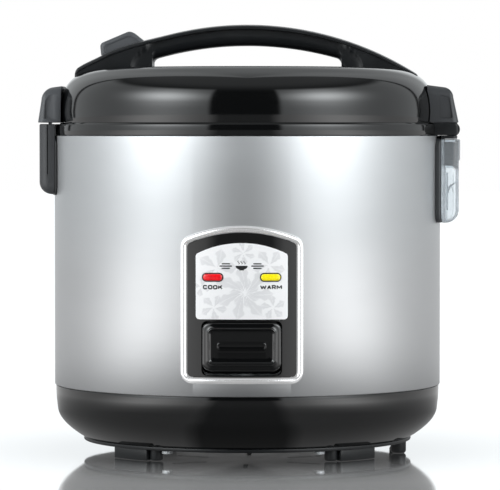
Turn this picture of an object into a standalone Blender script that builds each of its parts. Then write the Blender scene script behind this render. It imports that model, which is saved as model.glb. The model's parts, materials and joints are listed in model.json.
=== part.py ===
"""Rice cooker with a hinged lid, built as the real one is assembled.

Metres, +Z up. The origin is on the body's axis at the surface it stands on. The control panel faces -Y,
the lid's hinge is at +X and its latch at -X.
"""

import math

import bmesh
import bpy
from mathutils import Matrix, Vector

GAP = 0.0003            # clearance between pieces that touch
SEGMENTS = 44           # sides of the large turned pieces
SMALL_SEGMENTS = 20     # sides of the small turned pieces

# Body
BODY_R = 0.1250         # outside of the steel jacket
SHEET = 0.0008          # its thickness
SHELL = 0.0022          # moulded wall thickness
PLATE_LOW = 0.0070      # underside of the bottom plate, so also the height of the feet
PLATE_HIGH = 0.0093
PLATE_R = 0.1062
BASE_LOW = 0.0096
JACKET_LOW = 0.0432
JACKET_HIGH = 0.2037
RING_LOW = 0.2040
RING_HIGH = 0.2112      # the parting line between body and lid
RING_R = 0.1246
BLOCK_HALF = 0.0310     # half the width of the latch and hinge blocks

# Lid
LID_LOW = 0.2121
LID_HIGH = 0.2484
LID_R = 0.1217
HANDLE_TOP = 0.2756
HANDLE_R = 0.2050       # radius of the handle's top line
GRIP_TOP = 0.2619       # top of the finger gap under the handle
GRIP_R = 0.2150
GRIP_HALF = 0.0610
HANDLE_HALF = 0.1110    # half the handle's length
HANDLE_WIDE = 0.0180    # half its width
VENT = Vector((0.0300, 0.0500, 0.0))
VENT_R = 0.0206

# Joint axes
HINGE = Vector((0.1325, 0.0, 0.2078))
LATCH = Vector((-0.1220, 0.0, 0.2280))
LEVER = Vector((0.0, -0.0650, 0.0340))
THERMOSTAT = Vector((0.0, 0.0, 0.0500))
DEW_CUP = Vector((0.1300, 0.0, 0.1750))
BUTTON_X = -0.0800      # where the release button sits on the handle
BUTTON_HALF = 0.0122    # half the button's width
STEM_HALF = 0.0044      # half the width of its stem
STEM_END = -0.0181      # the stem's tip, in the button's own frame
BARREL_R = 0.0048       # the lid hinge's barrel
PIN_R = 0.0015

HOLDER_LOW = 0.0406     # underside of the thermostat's holder, clear of the raised arm

# Control panel, in its own flat frame: u round the body, z up
FRAME_HALF = 0.0379
FRAME_LOW, FRAME_HIGH = 0.0514, 0.1487
BEZEL = 0.0039          # width of the bright frame
PADDLE_HALF, PADDLE_LOW, PADDLE_HIGH = 0.0240, 0.0596, 0.0893
PLAY = 0.0007           # clearance round the paddle
LENS_U, LENS_Z = 0.0175, 0.1171

SLOTS = {
    # name: (colour, metallic, roughness, alpha)
    "steel": ((0.62, 0.63, 0.65), 1.0, 0.25, 1.0),
    "black_gloss": ((0.012, 0.013, 0.015), 0.0, 0.12, 1.0),
    "black_satin": ((0.025, 0.027, 0.030), 0.0, 0.38, 1.0),
    "chrome": ((0.80, 0.81, 0.83), 1.0, 0.06, 1.0),
    "aluminium": ((0.70, 0.71, 0.72), 1.0, 0.35, 1.0),
    "nonstick": ((0.10, 0.10, 0.105), 0.3, 0.45, 1.0),
    "zinc_sheet": ((0.55, 0.57, 0.58), 1.0, 0.42, 1.0),
    "silver_label": ((0.78, 0.78, 0.79), 0.2, 0.35, 1.0),
    "red_lens": ((0.85, 0.02, 0.03), 0.0, 0.15, 1.0),
    "amber_lens": ((0.95, 0.80, 0.02), 0.0, 0.15, 1.0),
    "clear_plastic": ((0.85, 0.89, 0.92), 0.0, 0.08, 0.35),
    "silicone": ((0.72, 0.72, 0.70), 0.0, 0.60, 1.0),
    "brass": ((0.78, 0.58, 0.25), 1.0, 0.30, 1.0),
    "board": ((0.05, 0.25, 0.10), 0.0, 0.50, 1.0),
    "magnet": ((0.10, 0.10, 0.11), 0.6, 0.45, 1.0),
    "wire_white": ((0.80, 0.80, 0.78), 0.0, 0.50, 1.0),
}


def clear_scene():
    for old in list(bpy.data.objects):
        bpy.data.objects.remove(old)


def make_materials():
    for name, (colour, metallic, roughness, alpha) in SLOTS.items():
        material = bpy.data.materials.new(name)
        material.use_nodes = True
        shader = material.node_tree.nodes["Principled BSDF"]
        shader.inputs["Base Color"].default_value = (*colour, 1.0)
        shader.inputs["Metallic"].default_value = metallic
        shader.inputs["Roughness"].default_value = roughness
        shader.inputs["Alpha"].default_value = alpha


def finish(name, bm, slot, round_deg=35.0):
    """Turns a bmesh into a named object with its material, shaded smooth except at sharp edges."""
    bmesh.ops.remove_doubles(bm, verts=bm.verts, dist=1e-6)
    bmesh.ops.recalc_face_normals(bm, faces=bm.faces)
    mesh = bpy.data.meshes.new(name)
    bm.to_mesh(mesh)
    bm.free()
    mesh.shade_smooth()
    mesh.set_sharp_from_angle(angle=math.radians(round_deg))
    obj = bpy.data.objects.new(name, mesh)
    bpy.context.scene.collection.objects.link(obj)
    if slot:
        mesh.materials.append(bpy.data.materials[slot])
    return obj


# Shapes

def bezier(start, control, end, steps):
    """Points of a quadratic curve, both ends included."""
    points = []
    for i in range(steps + 1):
        t = i / steps
        points.append(tuple(
            (1 - t) ** 2 * a + 2 * t * (1 - t) * b + t * t * c
            for a, b, c in zip(start, control, end)
        ))
    return points


def arc(centre, radius, start_deg, end_deg, steps):
    """Points of a circular arc in a plane, both ends included."""
    points = []
    for i in range(steps + 1):
        a = math.radians(start_deg + (end_deg - start_deg) * i / steps)
        points.append((centre[0] + radius * math.cos(a), centre[1] + radius * math.sin(a)))
    return points


def rounded_rect(half_x, low, high, radius, steps=4):
    """A rectangle with round corners, centred on 0 across and from low to high, anticlockwise."""
    inner = half_x - radius
    corners = [(inner, low + radius, -90), (inner, high - radius, 0),
               (-inner, high - radius, 90), (-inner, low + radius, 180)]
    points = []
    for x, z, start in corners:
        points += arc((x, z), radius, start, start + 90, steps)
    return points


def arched_panel(half, low, high, crown_r, corner_r, steps=8):
    """The panel's outline: straight sides, round corners below, and a top that is one long arc."""
    side = half - corner_r
    centre = high - crown_r
    corner_z = centre + math.sqrt((crown_r - corner_r) ** 2 - side ** 2)
    lean = math.degrees(math.atan2(corner_z - centre, side))
    points = arc((side, low + corner_r), corner_r, -90, 0, 4)
    points += arc((side, corner_z), corner_r, 0, lean, 4)
    points += arc((0, centre), crown_r, lean, 180 - lean, steps)[1:-1]
    points += arc((-side, corner_z), corner_r, 180 - lean, 180, 4)
    points += arc((-side, low + corner_r), corner_r, 180, 270, 4)
    return points


def turned(name, profile, slot, segments=SEGMENTS, centre=(0.0, 0.0)):
    """A closed profile of (radius, height) points, turned about a vertical axis."""
    bm = bmesh.new()
    rings = []
    for radius, height in profile:
        if radius < 1e-7:
            rings.append([bm.verts.new((centre[0], centre[1], height))])
            continue
        rings.append([
            bm.verts.new((
                centre[0] + radius * math.cos(math.tau * i / segments),
                centre[1] + radius * math.sin(math.tau * i / segments),
                height,
            ))
            for i in range(segments)
        ])
    for lower, upper in zip(rings, rings[1:] + rings[:1]):
        if len(lower) == 1 and len(upper) == 1:
            continue
        for i in range(segments):
            j = (i + 1) % segments
            below, above = len(lower), len(upper)
            loop = [lower[i % below], lower[j % below], upper[j % above], upper[i % above]]
            bm.faces.new(list(dict.fromkeys(loop)))
    return finish(name, bm, slot)


def extruded(name, outline, low, high, slot, axis="Y"):
    """An outline extruded along an axis. It is given as (x, z) for Y, (y, z) for X and (x, y) for Z."""
    place = {
        "X": lambda p, depth: (depth, p[0], p[1]),
        "Y": lambda p, depth: (p[0], depth, p[1]),
        "Z": lambda p, depth: (p[0], p[1], depth),
    }[axis]
    bm = bmesh.new()
    face = bm.faces.new([bm.verts.new(place(p, low)) for p in outline])
    grown = bmesh.ops.extrude_face_region(bm, geom=[face])
    moved = [v for v in grown["geom"] if isinstance(v, bmesh.types.BMVert)]
    bmesh.ops.translate(bm, verts=moved, vec=Vector(place((0, 0), high - low)))
    return finish(name, bm, slot)


def box(name, low, high, slot):
    """A block between two corners."""
    outline = [(low[0], low[1]), (high[0], low[1]), (high[0], high[1]), (low[0], high[1])]
    return extruded(name, outline, low[2], high[2], slot, axis="Z")


def rod(name, start, end, radius, slot, sides=12):
    """A round bar between two points."""
    start, end = Vector(start), Vector(end)
    along = end - start
    bm = bmesh.new()
    bmesh.ops.create_cone(
        bm, cap_ends=True, segments=sides, radius1=radius, radius2=radius, depth=along.length)
    turn = along.to_track_quat("Z", "Y").to_matrix().to_4x4()
    bmesh.ops.transform(bm, matrix=Matrix.Translation((start + end) / 2) @ turn, verts=bm.verts)
    return finish(name, bm, slot)


def tube(name, points, radius, slot, resolution=1):
    """A round wire through the points: a POLY curve with a bevel and filled caps."""
    curve = bpy.data.curves.new(name, "CURVE")
    curve.dimensions = "3D"
    curve.bevel_depth = radius
    curve.bevel_resolution = resolution
    curve.use_fill_caps = True
    spline = curve.splines.new("POLY")
    spline.points.add(len(points) - 1)
    for point, place in zip(spline.points, points):
        point.co = (*place, 1.0)
    curve.materials.append(bpy.data.materials[slot])
    obj = bpy.data.objects.new(name, curve)
    bpy.context.scene.collection.objects.link(obj)
    return obj


def coil(name, base, axis, length, radius, wire, turns, slot):
    """A helical spring from base along axis."""
    axis = Vector(axis).normalized()
    side = axis.orthogonal().normalized()
    other = axis.cross(side)
    steps = 8 * turns
    points = []
    for i in range(steps + 1):
        angle = math.tau * turns * i / steps
        offset = side * math.cos(angle) + other * math.sin(angle)
        points.append(Vector(base) + offset * radius + axis * (length * i / steps))
    return tube(name, points, wire / 2, slot)


def smooth_route(places, steps=5):
    """A Catmull-Rom curve through the places."""
    points = [Vector(p) for p in places]
    padded = [2 * points[0] - points[1]] + points + [2 * points[-1] - points[-2]]
    route = []
    for a, b, c, d in zip(padded, padded[1:], padded[2:], padded[3:]):
        for i in range(steps):
            t = i / steps
            route.append(0.5 * (
                2 * b + (c - a) * t + (2 * a - 5 * b + 4 * c - d) * t * t
                + (3 * b - a - 3 * c + d) * t ** 3
            ))
    return route + [points[-1]]


def wrapped(name, outer, low, high, slot, inner=None, side_deg=0.0, strip=0.0068):
    """A flat outline in (u, z) bent round the body. low and high are heights over the jacket's surface.

    With an inner outline of as many points it is a ring. side_deg turns it round the body from the front."""
    bm = bmesh.new()
    if inner is None:
        bm.faces.new([bm.verts.new((u, 0.0, z)) for u, z in outer])
    else:
        loops = [[bm.verts.new((u, 0.0, z)) for u, z in line] for line in (outer, inner)]
        count = len(outer)
        for i in range(count):
            j = (i + 1) % count
            bm.faces.new([loops[0][i], loops[0][j], loops[1][j], loops[1][i]])
    cuts = int(max(u for u, _ in outer) / strip)
    for i in range(-cuts, cuts + 1):
        bmesh.ops.bisect_plane(
            bm, geom=bm.verts[:] + bm.edges[:] + bm.faces[:], dist=1e-6,
            plane_co=(i * strip, 0, 0), plane_no=(1, 0, 0),
        )
    grown = bmesh.ops.extrude_face_region(bm, geom=bm.faces[:])
    front = {v for v in grown["geom"] if isinstance(v, bmesh.types.BMVert)}
    for vert in bm.verts:
        radius = BODY_R + (high if vert in front else low)
        angle = vert.co.x / BODY_R + math.radians(side_deg)
        vert.co = (radius * math.sin(angle), -radius * math.cos(angle), vert.co.z)
    return finish(name, bm, slot)


def combine(obj, others, operation):
    """Adds a Boolean for each of the other shapes and hides them, as helpers."""
    for other in others:
        modifier = obj.modifiers.new(operation.lower(), "BOOLEAN")
        modifier.operation = operation
        modifier.solver = "EXACT"
        modifier.object = other
        other.hide_render = True
        other.display_type = "WIRE"
    return obj


def cut(obj, *cutters):
    return combine(obj, cutters, "DIFFERENCE")


def join(obj, *pieces):
    return combine(obj, pieces, "UNION")


def polar(radius, angle_deg):
    """A point on the floor plane, at an angle from +X."""
    return radius * math.cos(math.radians(angle_deg)), radius * math.sin(math.radians(angle_deg))


# Profiles that more than one piece follows

def base_curve(inset=0.0, steps=6):
    """The base's rounded side from the jacket down to the bottom plate, as (radius, height)."""
    start, control = (0.1232 - inset, 0.0275), (0.1222 - inset, 0.0190 + inset)
    return bezier(start, control, (0.1067 - inset, BASE_LOW + inset), steps)


def lid_curve(inset=0.0, steps=7):
    """The lid's side and shoulder from the parting line to the middle of the top."""
    side = [(LID_R - inset, LID_LOW), (0.1212 - inset, 0.2195)]
    start, control = (0.1205 - inset, 0.2268), (0.1192 - inset, 0.2465 - inset)
    shoulder = bezier(start, control, (0.0924, 0.2472 - inset), steps)
    return side + shoulder + [(0.0500, 0.2482 - inset), (0.0, LID_HIGH - inset)]


def lid_cutter(name):
    """The space that the closed lid fills, with a little clearance."""
    low = LID_LOW - 0.01
    return turned(name, [(0.0, low), (LID_R + GAP, low)] + lid_curve(-GAP - 0.0002), None)


def body_cutter(name, radius, low, high):
    return turned(name, [(0.0, low), (radius, low), (radius, high), (0.0, high)], None, segments=96)


# Body

def make_jacket():
    half = BODY_R - SHEET
    jacket = turned("outer_jacket", [
        (half, JACKET_LOW), (BODY_R, JACKET_LOW), (BODY_R, JACKET_HIGH), (half, JACKET_HIGH)], "steel")
    window = box("jacket_window", (-0.0300, -0.1400, 0.0545), (0.0300, -0.1000, 0.1400), None)
    return cut(jacket, window)


def make_base_shell():
    outer = base_curve()
    inner = base_curve(SHELL, steps=3)
    lip = 0.0985
    profile = [(lip, BASE_LOW)] + outer[::-1] + [
        (0.1243, 0.0428), (0.1236, 0.0428), (0.1236, 0.0480), (0.1214, 0.0480)]
    profile += inner + [(lip, BASE_LOW + SHELL)]
    shell = turned("base_shell", profile, "black_gloss")
    socket = box("socket_cut", (-0.0150, 0.1050, 0.0205), (0.0150, 0.1400, 0.0395), None)
    holes = [
        rod(f"screw_hole_{i}", (*place, 0.0050), (*place, 0.0150), 0.0019, None)
        for i, place in enumerate(base_screw_places())
    ]
    return cut(shell, socket, *holes)


def base_screw_places():
    return [polar(0.1015, angle) for angle in (62, 118, 242, 298)]


def make_bottom_plate():
    """The vented plate that closes the base, with its moulded feet."""
    plate = turned("bottom_plate", [
        (0.0, PLATE_LOW), (PLATE_R, PLATE_LOW), (PLATE_R, PLATE_HIGH), (0.0, PLATE_HIGH)], "black_satin")
    top = PLATE_LOW + 0.0012
    feet = []
    for i, (start, end) in enumerate([(-54.5, -38.0), (38.0, 54.5), (125.5, 142.0), (218.0, 234.5)]):
        ring = arc((0, 0), 0.1048, start, end, 5) + arc((0, 0), 0.0940, end, start, 5)
        feet.append(extruded(f"foot_block_{i}", ring, 0.0, top, None, axis="Z"))
    for i, angle in enumerate((-56.5, 56.5, 123.5, 236.5)):
        place = polar(0.0990, angle)
        feet.append(rod(f"foot_post_{i}", (*place, 0.0), (*place, top), 0.0043, None))
    for i, angle in enumerate((-15.0, 15.0)):
        place = polar(0.1012, angle)
        feet.append(rod(f"hinge_foot_{i}", (*place, 0.0), (*place, top), 0.0050, None))
    vents = []
    for i in range(6):
        along = Vector(polar(1.0, 60 * i + 30))
        across = Vector((-along.y, along.x)) * 0.0016
        start, end = along * 0.030, along * 0.055
        ring = [tuple(p) for p in (start - across, end - across, end + across, start + across)]
        vents.append(extruded(f"vent_slot_{i}", ring, 0.0, 0.02, None, axis="Z"))
    holes = [
        rod(f"plate_hole_{i}", (*place, 0.0), (*place, 0.0150), 0.0019, None)
        for i, place in enumerate(base_screw_places())
    ]
    join(plate, *feet)
    return cut(plate, *vents, *holes)


def make_base_screws():
    head_low = PLATE_LOW - 0.0023
    for i, place in enumerate(base_screw_places()):
        profile = [(0.0, head_low), (0.0034, head_low + 0.0004), (0.0034, PLATE_LOW - GAP),
                   (0.0014, PLATE_LOW - GAP), (0.0014, 0.0140), (0.0, 0.0150)]
        turned(f"base_screw_{i + 1}", profile, "zinc_sheet", segments=12, centre=place)


def hinge_bar(name, half, radius, slot, sides=12):
    """A round bar on the lid hinge's axis."""
    return rod(name, (HINGE.x, -half, HINGE.z), (HINGE.x, half, HINGE.z), radius, slot, sides)


def make_upper_ring():
    """The collar under the lid. It carries the hinge ears and the ledge that the chamber hangs from."""
    ring = turned("upper_ring", [
        (0.1060, 0.2025), (0.1214, 0.2025), (0.1214, 0.1965), (0.1236, 0.1965), (0.1236, RING_LOW),
        (RING_R, RING_LOW), (RING_R, RING_HIGH), (0.1185, RING_HIGH), (0.1165, 0.2055), (0.1060, 0.2055)],
        "black_gloss")
    ears = []
    for i, (low, high) in enumerate([(-BLOCK_HALF, -0.0215), (0.0215, BLOCK_HALF)]):
        outline = [(0.1120, RING_LOW), (0.1352, RING_LOW), (0.1352, 0.2102), (0.1342, RING_HIGH),
                   (0.1195, RING_HIGH), (0.1195, 0.2075), (0.1120, 0.2060)]
        ears.append(extruded(f"hinge_ear_{i}", outline, low, high, None))
    join(ring, *ears)
    jacket_side = body_cutter("pot_well", 0.1172, 0.2058, 0.2200)
    barrel_room = hinge_bar("barrel_room", 0.0215, BARREL_R + 0.0006, None, 24)
    arm_room = box("arm_room", (0.1205, -0.0215, 0.2085), (0.1300, 0.0215, 0.2200), None)
    pin_hole = hinge_bar("hinge_pin_hole", 0.0290, PIN_R + GAP, None)
    return cut(ring, jacket_side, barrel_room, arm_room, pin_hole)


def make_chamber():
    """The sheet-metal well round the pot, open in the middle for the thermostat."""
    low, high, bore, radius = 0.0480, 0.2020, 0.0220, 0.1118
    chamber = turned("heating_chamber", [
        (bore, low), (radius, low), (radius, high), (radius - SHEET, high), (radius - SHEET, low + SHEET),
        (bore, low + SHEET)], "zinc_sheet")
    holes = [
        rod(f"terminal_hole_{i}", (x, 0.0585, 0.04), (x, 0.0585, 0.055), 0.0045, None)
        for i, x in enumerate((-0.012, 0.012))
    ]
    return cut(chamber, *holes)


def make_heating_plate():
    plate = turned("heating_plate", [
        (0.0195, 0.0545), (0.0520, 0.0545), (0.0540, 0.0515), (0.0640, 0.0515), (0.0660, 0.0545),
        (0.0800, 0.0545), (0.0820, 0.0565), (0.0820, 0.0615), (0.0790, 0.0636), (0.0195, 0.0638)],
        "aluminium", segments=36)
    legs = []
    for i in range(3):
        place = polar(0.0735, 90 + 120 * i)
        legs.append(rod(f"plate_leg_{i}", (*place, 0.0488 + GAP), (*place, 0.0560), 0.0040, None))
    join(plate, *legs)
    for name, x in (("heater_terminal_live", -0.012), ("heater_terminal_neutral", 0.012)):
        rod(name, (x, 0.0585, 0.0340), (x, 0.0585, 0.0515 - GAP), 0.0022, "brass")


def make_thermostat():
    """The magnetic thermostat in the middle of the plate: its holder, sprung cap, ferrite, magnet and rod."""
    floor = HOLDER_LOW + SHEET
    turned("thermostat_holder", [
        (0.0095, HOLDER_LOW), (0.0160, HOLDER_LOW), (0.0160, 0.0464), (0.0280, 0.0464), (0.0280, 0.0476),
        (0.0160, 0.0476), (0.0160, 0.0560), (0.0150, 0.0560), (0.0150, floor), (0.0095, floor)],
        "zinc_sheet", SMALL_SEGMENTS)
    turned("sensor_cap", [
        (0.0, 0.0628), (0.0166, 0.0628), (0.0166, 0.0520), (0.0180, 0.0520), (0.0180, 0.0632),
        (0.0174, 0.0638), (0.0, 0.0638)], "aluminium", SMALL_SEGMENTS)
    turned("sensor_ferrite", [(0.0, 0.0578), (0.0095, 0.0578), (0.0095, 0.0625), (0.0, 0.0625)], "magnet",
           SMALL_SEGMENTS)
    turned("lower_magnet", [
        (0.0, 0.0382), (0.0020, 0.0382), (0.0020, 0.0475), (0.0085, 0.0475), (0.0085, 0.0525), (0.0, 0.0525)],
        "magnet", SMALL_SEGMENTS)
    coil("sensor_spring", (0, 0, floor + 0.0010), (0, 0, 1), 0.0194, 0.0124, 0.0012, 4, "steel")


def make_switch():
    """The cook switch: paddle, bent steel arm, its bracket, pin and return spring, and the microswitch."""
    low, high, tip, back = 0.0362, 0.0377, 0.0020, -0.1165
    top, strap, paddle_face = 0.0700, 0.0015, -0.1205
    arm = extruded("switch_arm", [
        (tip, low), (tip, high), (back, high), (back, top), (paddle_face, top), (paddle_face, top - strap),
        (back - strap, top - strap), (back - strap, low), (LEVER.y - 0.0045, low), (LEVER.y - 0.0035, 0.0315),
        (LEVER.y + 0.0035, 0.0315), (LEVER.y + 0.0045, low)], -0.0060, 0.0060, "zinc_sheet", axis="X")
    cut(arm, rod("arm_hole", (-0.01, LEVER.y, LEVER.z), (0.01, LEVER.y, LEVER.z), PIN_R + GAP, None))
    rod("lever_pin", (-0.0100, LEVER.y, LEVER.z), (0.0100, LEVER.y, LEVER.z), PIN_R, "steel")
    low, web, flange, high = 0.0300, 0.0446, 0.0462, 0.0476
    inner, outer, reach = 0.0072, 0.0088, 0.0200
    bracket = extruded("lever_bracket", [
        (-outer, low), (-inner, low), (-inner, web), (inner, web), (inner, low), (outer, low),
        (outer, flange), (reach, flange), (reach, high), (-reach, high), (-reach, flange), (-outer, flange)],
        LEVER.y - 0.0060, LEVER.y + 0.0060, "zinc_sheet")
    hole = rod("bracket_hole", (-0.015, LEVER.y, LEVER.z), (0.015, LEVER.y, LEVER.z), PIN_R + GAP, None)
    cut(bracket, hole)
    coil("lever_spring", (0, -0.0900, PLATE_HIGH + 0.0008), (0, 0, 1), 0.0252, 0.0040, 0.0009, 4, "steel")
    switch = box("microswitch", (-0.0100, -0.1130, 0.0200), (0.0100, -0.1010, 0.0320), "black_satin")
    join(switch, box("switch_plunger", (-0.0020, -0.1090, 0.0310), (0.0020, -0.1060, 0.0340), None))
    outline = rounded_rect(PADDLE_HALF, PADDLE_LOW, PADDLE_HIGH, 0.0032)
    paddle = wrapped("switch_paddle", outline, -0.0040, 0.0042, "black_gloss")
    dish = wrapped("paddle_dish", rounded_rect(0.0178, 0.0680, 0.0798, 0.0030), 0.0030, 0.0080, None)
    bar = wrapped("paddle_bar", rounded_rect(0.0146, 0.0724, 0.0771, 0.0018), 0.0020, 0.0040, None)
    return join(cut(paddle, dish), bar)


def make_panel():
    """The control panel on the jacket: bright frame, black body, printed label and two lamp lenses."""
    outer = arched_panel(FRAME_HALF, FRAME_LOW, FRAME_HIGH, 0.0880, 0.0070)
    inner = arched_panel(FRAME_HALF - BEZEL, FRAME_LOW + BEZEL, FRAME_HIGH - BEZEL, 0.0841, 0.0034)
    wrapped("panel_frame", outer, GAP, 0.0034, "chrome", inner=inner)
    inset = BEZEL + GAP
    outline = arched_panel(FRAME_HALF - inset, FRAME_LOW + inset, FRAME_HIGH - inset, 0.0838, 0.0031)
    plate = wrapped("panel_body", outline, GAP, 0.0016, "black_gloss")
    half, low, high = PADDLE_HALF + PLAY, 0.0564, PADDLE_HIGH + PLAY
    rim = rounded_rect(half + 0.0014, low - 0.0006, high + 0.0010, 0.0030)
    collar = wrapped("paddle_collar", rim, -0.0030, 0.0010, None)
    window = wrapped("paddle_window", rounded_rect(half, low, high, 0.0030), -0.0120, 0.0060, None)
    cut(join(plate, collar), window)
    outline = arched_panel(0.0280, 0.0912, 0.1381, 0.0600, 0.0022)
    wrapped("panel_label", outline, 0.0019, 0.0023, "silver_label")
    for kind, u, slot in (("cook", -LENS_U, "red_lens"), ("warm", LENS_U, "amber_lens")):
        outline = rounded_rect(0.0058, LENS_Z - 0.0020, LENS_Z + 0.0020, 0.0019)
        wrapped(kind + "_lens", outline, 0.0026, 0.0034, slot, side_deg=math.degrees(u / BODY_R))
        rod(kind + "_lamp", (u * 0.96, -0.1193, LENS_Z), (u * 0.96, -0.1218, LENS_Z), 0.0022, slot)
    box("lamp_board", (-0.0240, -0.1190, 0.1080), (0.0240, -0.1176, 0.1250), "board")


def make_pot():
    """The lift-out cooking pot, with its rolled rim."""
    corner_out = arc((0.0850, 0.0822), 0.0180, -90, 0, 4)
    corner_in = arc((0.0850, 0.0822), 0.0164, 0, -90, 4)
    turned("inner_pot", [(0.0, 0.0642)] + corner_out + [
        (0.1030, 0.2060), (0.1145, 0.2060), (0.1145, 0.2075), (0.1014, 0.2075)] + corner_in + [(0.0, 0.0658)],
        "nonstick")


def make_power_inlet():
    """The appliance inlet in the back of the base: a shrouded recess with two pins."""
    inlet = box("power_inlet", (-0.0146, 0.1040, 0.0209), (0.0146, 0.1262, 0.0391), "black_satin")
    recess = box("inlet_recess", (-0.0122, 0.1105, 0.0233), (0.0122, 0.1400, 0.0367), None)
    holes = [rod(f"inlet_hole_{i}", (x, 0.0950, 0.0300), (x, 0.1400, 0.0300), 0.0023, None)
             for i, x in enumerate((-0.0055, 0.0055))]
    cut(inlet, recess, *holes)
    for name, x in (("inlet_pin_live", -0.0055), ("inlet_pin_neutral", 0.0055)):
        rod(name, (x, 0.0980, 0.0300), (x, 0.1175, 0.0300), 0.0020, "brass")


def make_wiring():
    """The thermal fuse and the leads between the inlet, the fuse and the plate's terminals."""
    rod("thermal_fuse", (-0.0300, 0.0440, 0.0440), (-0.0120, 0.0440, 0.0440), 0.0026, "zinc_sheet")
    live = [(-0.0055, 0.0965, 0.0300), (-0.0090, 0.0860, 0.0280), (-0.0260, 0.0700, 0.0270),
            (-0.0380, 0.0560, 0.0340), (-0.0380, 0.0450, 0.0430), (-0.0312, 0.0440, 0.0440)]
    neutral = [(0.0055, 0.0965, 0.0300), (0.0080, 0.0840, 0.0290), (0.0180, 0.0720, 0.0270),
               (0.0160, 0.0620, 0.0290), (0.0120, 0.0585, 0.0325)]
    heater = [(-0.0105, 0.0440, 0.0440), (-0.0050, 0.0445, 0.0400), (-0.0060, 0.0520, 0.0310),
              (-0.0110, 0.0570, 0.0300), (-0.0120, 0.0585, 0.0325)]
    for name, route in (("live_lead", live), ("neutral_lead", neutral), ("heater_lead", heater)):
        tube(name, smooth_route(route), 0.0011, "wire_white")


def make_latch_housing():
    """The catch at the left: a curved back plate on the jacket and the housing that the hook drops into."""
    outline = rounded_rect(BLOCK_HALF, 0.1655, RING_HIGH, 0.0070)
    low_corner = [p for p in outline if p[1] < 0.19]
    outline = low_corner[:5] + [(BLOCK_HALF, RING_LOW - GAP), (-BLOCK_HALF, RING_LOW - GAP)] + low_corner[5:]
    wrapped("latch_plate", outline, GAP, 0.0014, "black_satin", side_deg=-90)
    face = 0.1335
    outline = [(-0.1120, 0.1660), (-0.1260, 0.1660)]
    outline += bezier((-0.1275, 0.1662), (-face, 0.1662), (-face, 0.1740), 4)
    outline += [(-face, RING_HIGH), (-0.1120, RING_HIGH)]
    housing = extruded("latch_housing", outline, -BLOCK_HALF, BLOCK_HALF, "black_satin")
    hook_room = extruded("hook_room", [
        (-0.1316, 0.2200), (-0.1316, 0.1985), (-0.1240, 0.1985), (-0.1240, 0.2066), (-0.1262, 0.2070),
        (-0.1262, 0.2200)], -0.0080, 0.0080, None)
    return cut(housing, body_cutter("housing_back", BODY_R + 0.0017, 0.1500, 0.2200), hook_room)


def make_dew_collector():
    """The condensate cup on the hinge side and the bracket that it clips to."""
    outline = rounded_rect(BLOCK_HALF, 0.1480, 0.2026, 0.0070)
    bracket = wrapped("dew_bracket", outline, GAP, 0.0030, "black_satin", side_deg=90)
    spout = box("drip_spout", (0.1260, -0.0200, 0.1845), (0.1335, 0.0200, 0.1998), None)
    join(bracket, spout)
    low, high, face, band, wall = 0.1478, 0.2014, 0.1364, 0.1372, 0.0014
    half = BLOCK_HALF - 0.0008
    outer = [(0.1120, low), (0.1285, low)]
    outer += bezier((0.1300, low + 0.0002), (face, low + 0.0002), (face, 0.1570), 4)
    outer += [(face, 0.1880), (band, 0.1884), (band, high), (0.1120, high)]
    cup = extruded("dew_cup", outer, -half, half, "clear_plastic")
    inner = [(0.1301, low + wall)]
    inner += bezier((0.1305, low + wall), (face - wall, low + wall), (face - wall, 0.1575), 4)
    inner += [(face - wall, 0.2100), (0.1301, 0.2100)]
    well = extruded("cup_well", inner, wall - half, half - wall, None)
    mouth = box("cup_mouth", (0.1200, -0.0210, 0.1830), (0.1358, 0.0210, 0.2100), None)
    return cut(cup, body_cutter("cup_back", BODY_R + 0.0035, 0.1400, 0.2200), well, mouth)


# Lid

def make_lid_shell():
    shell = turned("lid_shell", lid_curve() + lid_curve(SHELL, steps=4)[::-1], "black_gloss")
    low, high = (VENT.x, VENT.y, 0.2300), (VENT.x, VENT.y, 0.2600)
    vent_hole = rod("vent_hole", low, high, VENT_R + 0.0005, None, 24)
    stem_slot = box("stem_slot", (-0.0900, -0.0060, 0.2400), (-0.0740, 0.0060, 0.2600), None)
    lever_slot = box("lever_slot", (-0.1400, -0.0062, 0.2228), (-0.1080, 0.0062, 0.2342), None)
    knuckle_slot = box("knuckle_slot", (0.1100, -0.0212, 0.2000), (0.1400, 0.0212, 0.2225), None)
    return cut(shell, vent_hole, stem_slot, lever_slot, knuckle_slot)


def handle_point(x, height=0.0):
    """A point on the handle's top line at x, moved out along its normal."""
    lean = math.asin(x / HANDLE_R)
    radius = HANDLE_R + height
    return radius * math.sin(lean), HANDLE_TOP - HANDLE_R + radius * math.cos(lean)


def button_place(along, out):
    """A point in the release button's own frame, along the handle and out from it, as (x, z)."""
    lean = math.asin(BUTTON_X / HANDLE_R)
    x, z = handle_point(BUTTON_X)
    return (x + along * math.cos(lean) + out * math.sin(lean),
            z - along * math.sin(lean) + out * math.cos(lean))


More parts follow.
